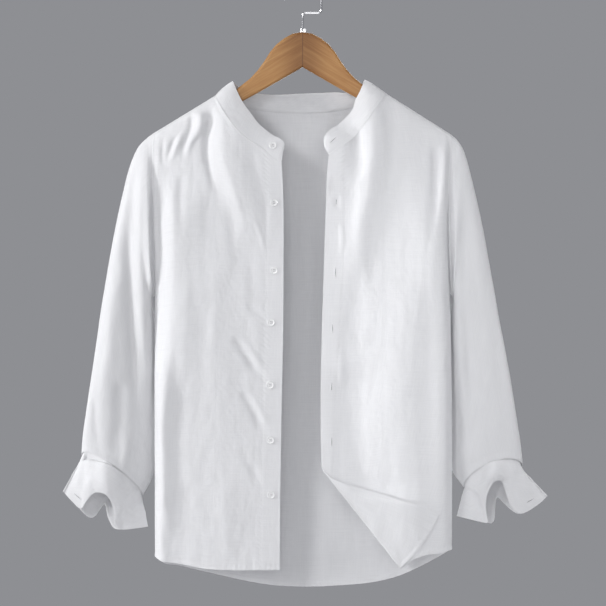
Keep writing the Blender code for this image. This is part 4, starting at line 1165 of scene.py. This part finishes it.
def buildCollar():
    grid = collarGrid()
    along = running(grid, 0)
    up = running(grid, 1)
    fromTop = up[:, -1:] - up
    fromEnd = np.minimum(along, along.max(axis=0, keepdims=True) - along)
    normals = normalsTowards(grid, (grid - collar["middle"]) * np.array((1, 1, 0)))
    # a soft roll across the band, and ripples along its sewing
    rise = up / np.maximum(up[:, -1:], 1e-6)
    swell = collar["roll"] * np.sin(math.pi * rise) + rumple(grid, collar["layers"], 41.2)
    swell = swell * eased(up / (5 * mm))
    lines = [(fromTop, collar["topSeam"]), (up, collar["footSeam"]), (fromEnd, collar["topSeam"])]
    swell = swell + doubledSewing(lines, along + up, collar["dip"], eased(up / (2 * mm)))
    grid = grid + normals * swell[..., None]
    seams = [(fromTop, collar["topSeam"], 1, collar["wall"]), (up, collar["footSeam"], 1, collar["wall"])]
    finishCloth("clothCollar", ["collar_band"], grid, normals, rimWall(collar, np.minimum(fromTop, fromEnd)),
                np.stack([along, up], axis=-1), 1.0, seams, flat=(0.53, 0.034),
                rests_on=["clothFrontLeft", "clothFrontRight", "clothBack"])
    return grid, normals


collarBand, collarNormals = buildCollar()
print("collar ready")

# ---- cuffs ----
cuffColumns = "x y z"
cuff = {
    "frontRim": {
        -1: table(cuffColumns, [
            (-367, -2, -789), (-353, -6, -804), (-340, -9, -815), (-330, -13, -803), (-321, -15, -792.5),
            (-312, -15.5, -789), (-301, -14, -791), (-292, -12, -802), (-288, -10, -820),
            (-286, -9, -839), (-277, -8, -847), (-258, -6, -846), (-237, 0, -843)]),
        1: table(cuffColumns, [
            (375, -2, -796), (362, -6, -808), (343, -9, -820), (330, -10, -822), (317, -12, -808),
            (310.5, -13, -788), (306, -14.5, -774), (298, -15.5, -769), (288, -14, -774.5),
            (281, -12, -795), (280.5, -10, -817), (284, -9, -835), (272, -7, -835.5), (236, 0, -827)]),
    },
    "backRim": {
        -1: table(cuffColumns, [
            (-237, 0, -843), (-256, 7, -845), (-276, 10, -848), (-290, 12, -846), (-299, 15, -830),
            (-304, 17, -810), (-312, 16, -819), (-319, 13, -828), (-327, 11, -830), (-337, 8, -822),
            (-349, 6, -808), (-367, 2, -789)]),
        1: table(cuffColumns, [
            (236, 0, -827), (264, 6, -832), (283, 9, -837), (291, 11, -838), (295, 13, -830),
            (296, 16, -812), (299, 17, -799), (309, 14, -808), (321, 11, -819), (331, 9, -824),
            (344, 8, -819), (362, 5, -807), (375, 2, -795.5)]),
    },
    "shiftY": 9 * mm,
    "tuck": 5 * mm,
    "mouth": 2 * mm,  # how far below the sleeve's end the cuff starts to open
    "inset": 2.2 * mm,
    "overlap": (1.8 * mm, 3.6 * mm),  # between its ends: the front one stands out, and the back one in
    "bulge": 4 * mm,
    "columns": 74,
    "rows": 46,
    "wedge": {"depth": 8 * mm, "height": 15 * mm, "length": 74 * mm, "step": 1.4 * mm,
              "start": 6 * mm, "fadeIn": 8 * mm},
    "crestX": {-1: -299 * mm, 1: 291 * mm},
    "crest": 7 * mm,
    "crestWidth": 14 * mm,
    "wall": 1.6,  # mm
    "edgeWall": 1.0,
    "layers": [(16, 20, 1.2), (6, 6, 0.3)],  # unevenness: mm across, mm down, mm high
    "seam": 3 * mm,
    "dip": 0.25,  # mm, along the sewing
}


def cuffGrid(side):
    halves = []
    for rim, start in ((cuff["frontRim"][side], 0.0), (cuff["backRim"][side], math.pi)):
        turn = np.linspace(0, 1, cuff["columns"] + 1)
        angles = start + turn * math.pi
        endRing = sleeveRing(side, 1.0, angles)
        up = unit(sleeveRing(side, 0.9, angles) - endRing)
        run = sleeveRing(side, 1.0, angles + 0.1) - sleeveRing(side, 1.0, angles - 0.1)
        inward = side * unit(np.cross(run, up)) * cuff["inset"]
        mouth = endRing + inward - up * cuff["mouth"]
        top = endRing + inward + up * cuff["tuck"]
        stations = np.linspace(0, 1, len(rim["x"]))
        low = np.stack([spline(turn, stations, rim[name]) for name in "xyz"], axis=-1)
        low[:, 1] += cuff["shiftY"]
        facing = -1 if start == 0 else 1
        rows = [top, (top + mouth) / 2]
        for t in np.linspace(0, 1, cuff["rows"]):
            bulge = facing * cuff["bulge"] * np.sin(math.pi * t) * np.sin(math.pi * turn)
            rows.append(mouth + (low - mouth) * t + bulge[:, None] * np.array((0, 1, 0)))
        halves.append(np.array(rows).swapaxes(0, 1))
    out, apart = cuff["overlap"]
    halves[0][0, :, 1] = np.minimum(halves[0][0, :, 1], halves[0][0, :, 1].mean() - out)
    halves[1][-1, :, 1] = np.maximum(halves[1][-1, :, 1], halves[0][0, :, 1] + apart)
    return np.concatenate([halves[0], halves[1][1:]])


def buildCuff(side):
    grid = cuffGrid(side)
    along = running(grid, 0)
    down = running(grid, 1)
    fromRim = down[:, -1:] - down
    fromEnd = np.minimum(along, along.max(axis=0, keepdims=True) - along)
    normals = normalsTowards(grid, grid - grid.mean(axis=(0, 1)))
    shape = eased(down / (9 * mm))
    swell = rumple(grid, cuff["layers"], 61.5 + side) * shape
    ahead = np.clip(-normals[..., 1] * 1.5, 0, 1)
    crest = (grid[..., 0] - cuff["crestX"][side]) / cuff["crestWidth"]
    swell = swell + cuff["crest"] * np.exp(-(crest**2)) * ahead * shape
    if side < 0:
        # a wedge above the turned cuff lies back and ends in a step
        wedge = cuff["wedge"]
        tall = wedge["height"] * np.clip(1 - along / wedge["length"], 0, 1)
        share = np.clip((down - cuff["tuck"]) / np.maximum(tall, 0.1 * mm), 0, 1)
        step = eased((tall + cuff["tuck"] - down) / wedge["step"] + 1)
        step = step * eased((along - wedge["start"]) / wedge["fadeIn"])
        grid[..., 1] += wedge["depth"] * share * step * ahead * tall / wedge["height"]
    lines = [(fromRim, cuff["seam"]), (fromEnd, cuff["seam"])]
    swell = swell + doubledSewing(lines, along + down, cuff["dip"], shape, shape)
    grid = grid + normals * swell[..., None]
    finishCloth("clothCuff" + sideName[side], ["cuff_" + sideName[side].lower()], grid, normals,
                rimWall(cuff, np.minimum(fromRim, fromEnd)), np.stack([along, down], axis=-1), 1.0,
                [(fromRim, cuff["seam"], 1, cuff["wall"])], flat=(0.24, 0.07),
                rests_on=["clothSleeve" + sideName[side]])
    return grid, normals


cuffs = {side: buildCuff(side) for side in (-1, 1)}
print("cuffs ready")

# ---- buttons ----
button = {
    "radius": 5.8 * mm,
    "thickness": 2.2 * mm,
    "steps": [(0.18, 0), (0.12, -0.22), (0.3, -0.05)],  # rim and dish: shares of radius and thickness
    "rounding": 0.45 * mm,
    "holeRadius": 0.8 * mm,
    "holePlace": 1.45 * mm,
    "threadRadius": 0.38 * mm,
    "threadLength": 2.5 * mm,
    "offFront": 0.9 * mm,
    "offBand": 1.1 * mm,
    "cuffSpot": (-10, -9),  # column and row of the cuff's grid
    "front": table("x z", [(-44, -348), (-43, -452), (-47, -531), (-49, -625), (-48, -709), (-47, -792)]),
}


def rod(vertices, radius, depth, place, material, turned=(0, 0, 0)):
    bpy.ops.mesh.primitive_cylinder_add(vertices=vertices, radius=radius, depth=depth, location=place,
                                        rotation=turned)
    bpy.context.object.data.materials.append(material)
    return bpy.context.object


def joined(parts, angle):
    for part in parts:
        part.select_set(True)
    bpy.context.view_layer.objects.active = parts[0]
    bpy.ops.object.join()
    bpy.ops.object.transform_apply(location=True, rotation=True, scale=True)
    bpy.ops.object.shade_smooth_by_angle(angle=math.radians(angle))
    parts[0].select_set(False)
    return parts[0]


def makeButton():
    # turned disc with a raised rim and a dished middle, four holes painted as thin dark discs of shade, and
    # the thread through them
    radius = button["radius"]
    height = button["thickness"]
    disc = rod(40, radius, height, (0, 0, 0), buttonPearl)
    disc.name = "buttonMaster"
    bpy.ops.object.mode_set(mode="EDIT")
    bpy.ops.mesh.select_all(action="DESELECT")
    mesh = bmesh.from_edit_mesh(disc.data)
    for face in mesh.faces:
        face.select_set(face.normal.z > 0.9)
    bmesh.update_edit_mesh(disc.data)
    for inwards, down in button["steps"]:
        bpy.ops.mesh.inset(thickness=radius * inwards, depth=height * down)
    bpy.ops.object.mode_set(mode="OBJECT")
    rounding = disc.modifiers.new("rounding", "BEVEL")
    rounding.width = button["rounding"]
    rounding.segments = 3
    rounding.limit_method = "ANGLE"
    rounding.angle_limit = math.radians(25)
    bpy.ops.object.modifier_apply(modifier="rounding")
    parts = [disc]
    for n in range(4):
        turn = Matrix.Rotation(math.pi / 4 + n * math.pi / 2, 3, "Z")
        place = turn @ Vector((button["holePlace"], 0, height * 0.245))
        # each hole is a thin dark disc on the dish: painted shade
        parts.append(rod(14, button["holeRadius"], 0.1 * mm, place, paintedHoleShade))
    for across in (-1, 1):
        place = (across * button["holePlace"] * math.cos(math.pi / 4), 0, height * 0.29)
        parts.append(rod(10, button["threadRadius"], button["threadLength"], place, sewingThread,
                         (math.pi / 2, 0, 0)))
    return joined(parts, 40)


def placeCopy(name, master, place, turned, slot, *nodes):
    piece = linked(name, master.data.copy())
    piece.data.transform(Matrix.Translation(Vector(place)) @ turned)
    declare(piece, slot, *nodes)


def placeButton(name, place, out, off, node):
    turned = Vector(out).to_track_quat("Z", "Y").to_matrix().to_4x4()
    placeCopy(name, buttonMaster, place + out * off, turned, "button", node)


def nearest(grid, normals, x, z):
    # the point of a front's grid that lies at x, z in the front view, on the layer that faces there
    reach = np.hypot(grid[..., 0] - x, grid[..., 2] - z) + np.where(normals[..., 1] < 0, 0, 1)
    spot = np.unravel_index(np.argmin(reach), reach.shape)
    return grid[spot], normals[spot]


def collarColumn(x):
    # the column of the collar's grid that stands at x in front
    return np.argmin(np.abs(collarBand[:, 0, 0] - x) + (collarBand[:, 0, 1] > 0))


buttonMaster = makeButton()
leftNormals = facingNormals(leftFront, -1)
for n, (x, z) in enumerate(zip(button["front"]["x"], button["front"]["z"]), start=1):
    place, out = nearest(leftFront, leftNormals, x, z)
    placeButton(f"frontButton{n}", place, out, button["offFront"], f"button_front_{n}")
spot = (collarColumn(collar["buttonX"]), collar["rows"] // 2)
placeButton("collarButton", collarBand[spot], collarNormals[spot], button["offBand"], "button_collar")
for side, (grid, normals) in cuffs.items():
    place = grid[button["cuffSpot"]]
    out = normals[button["cuffSpot"]]
    placeButton("cuffButton" + sideName[side], place, out * np.sign(out[1]), button["offBand"],
                "button_cuff_" + sideName[side].lower())
bpy.data.objects.remove(buttonMaster)
print("buttons ready")

# ---- buttonholes ----
buttonhole = {
    "length": 14.5 * mm,
    "width": 2 * mm,
    "bead": 0.9 * mm,
    "slit": 0.9 * mm,
    "pitch": 0.9 * mm,  # from one worked stitch to the next
    "stitch": 0.24 * mm,
    "offFront": 0.7 * mm,
    "offCollar": 0.95 * mm,
    "offCuff": 0.9 * mm,
    "cuffSpot": (9, -9),  # column and row of the cuff's grid
    "front": table("x z", [(52, -346), (50, -454), (46, -539), (44, -629), (44, -712)]),
}


def makeButtonhole():
    # a worked bead of thread round a slit, the slit a dark disc of painted shade, and the stitches that cross
    # it
    half = buttonhole["length"] / 2
    wide = buttonhole["width"] / 2
    bpy.ops.curve.primitive_bezier_circle_add(radius=1)
    bead = bpy.context.object
    bead.name = "buttonholeMaster"
    bead.data.resolution_u = 10
    bead.data.bevel_depth = buttonhole["bead"] / 2
    bead.data.bevel_resolution = 1
    bpy.ops.object.mode_set(mode="EDIT")
    bpy.ops.curve.select_all(action="SELECT")
    bpy.ops.transform.resize(value=(half, wide, 1))
    bpy.ops.object.mode_set(mode="OBJECT")
    bpy.ops.object.convert(target="MESH")
    bead.data.materials.clear()
    bead.data.materials.append(sewingThread)
    # the slit: a flattened dark disc of painted shade inside the bead
    parts = [bead, rod(28, half * 0.94, 0.5 * mm, (0, 0, -0.1 * mm), paintedHoleShade)]
    bpy.ops.object.mode_set(mode="EDIT")
    bpy.ops.mesh.select_all(action="SELECT")
    bpy.ops.transform.resize(value=(1, buttonhole["slit"] / buttonhole["length"], 1))
    bpy.ops.mesh.bevel(offset=0.12 * mm, segments=2)
    bpy.ops.object.mode_set(mode="OBJECT")
    count = int(buttonhole["length"] / buttonhole["pitch"])
    for n in range(count + 1):
        x = half * 0.96 * (2 * n / count - 1)  # from end to end of the slit
        y = wide * math.sqrt(1 - (x / half) ** 2)
        for flip in (-1, 1):
            parts.append(rod(6, buttonhole["stitch"], buttonhole["bead"] * 1.5, (x, flip * y, 0.1 * mm),
                             sewingThread, (math.pi / 2, 0, 0)))
    return joined(parts, 50)


def placeButtonhole(name, place, out, off, along):
    along = unit(along - out * np.dot(along, out))
    turned = Matrix((along, np.cross(out, along), out)).transposed().to_4x4()
    placeCopy(name, buttonholeMaster, place + out * off, turned, "linen")


buttonholeMaster = makeButtonhole()
rightNormals = facingNormals(rightFront, -1)
for n, (x, z) in enumerate(zip(buttonhole["front"]["x"], buttonhole["front"]["z"]), start=1):
    place, out = nearest(rightFront, rightNormals, x, z)
    placeButtonhole(f"frontButtonhole{n}", place, out, buttonhole["offFront"], np.array((0.02, 0, 1)))
column, row = collarColumn(collar["slitX"]), collar["rows"] // 2
placeButtonhole("collarButtonhole", collarBand[column, row], collarNormals[column, row],
                buttonhole["offCollar"], collarBand[column + 4, row] - collarBand[column - 4, row])
column, row = buttonhole["cuffSpot"]
for side, (grid, normals) in cuffs.items():
    out = normals[column, row]
    placeButtonhole("cuffButtonhole" + sideName[side], grid[column, row], out * -np.sign(out[1]),
                    buttonhole["offCuff"], grid[column + 2, row] - grid[column - 2, row])
bpy.data.objects.remove(buttonholeMaster)
print("buttonholes ready")

# ---- hanger ----
varnishedWood = woodMaterial()
for node, material in (("hanger_arms", varnishedWood), ("hanger_ferrule", polishedSteel),
                       ("hanger_hook", polishedSteel)):
    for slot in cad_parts[node].material_slots:
        slot.material = material
print("hanger ready")
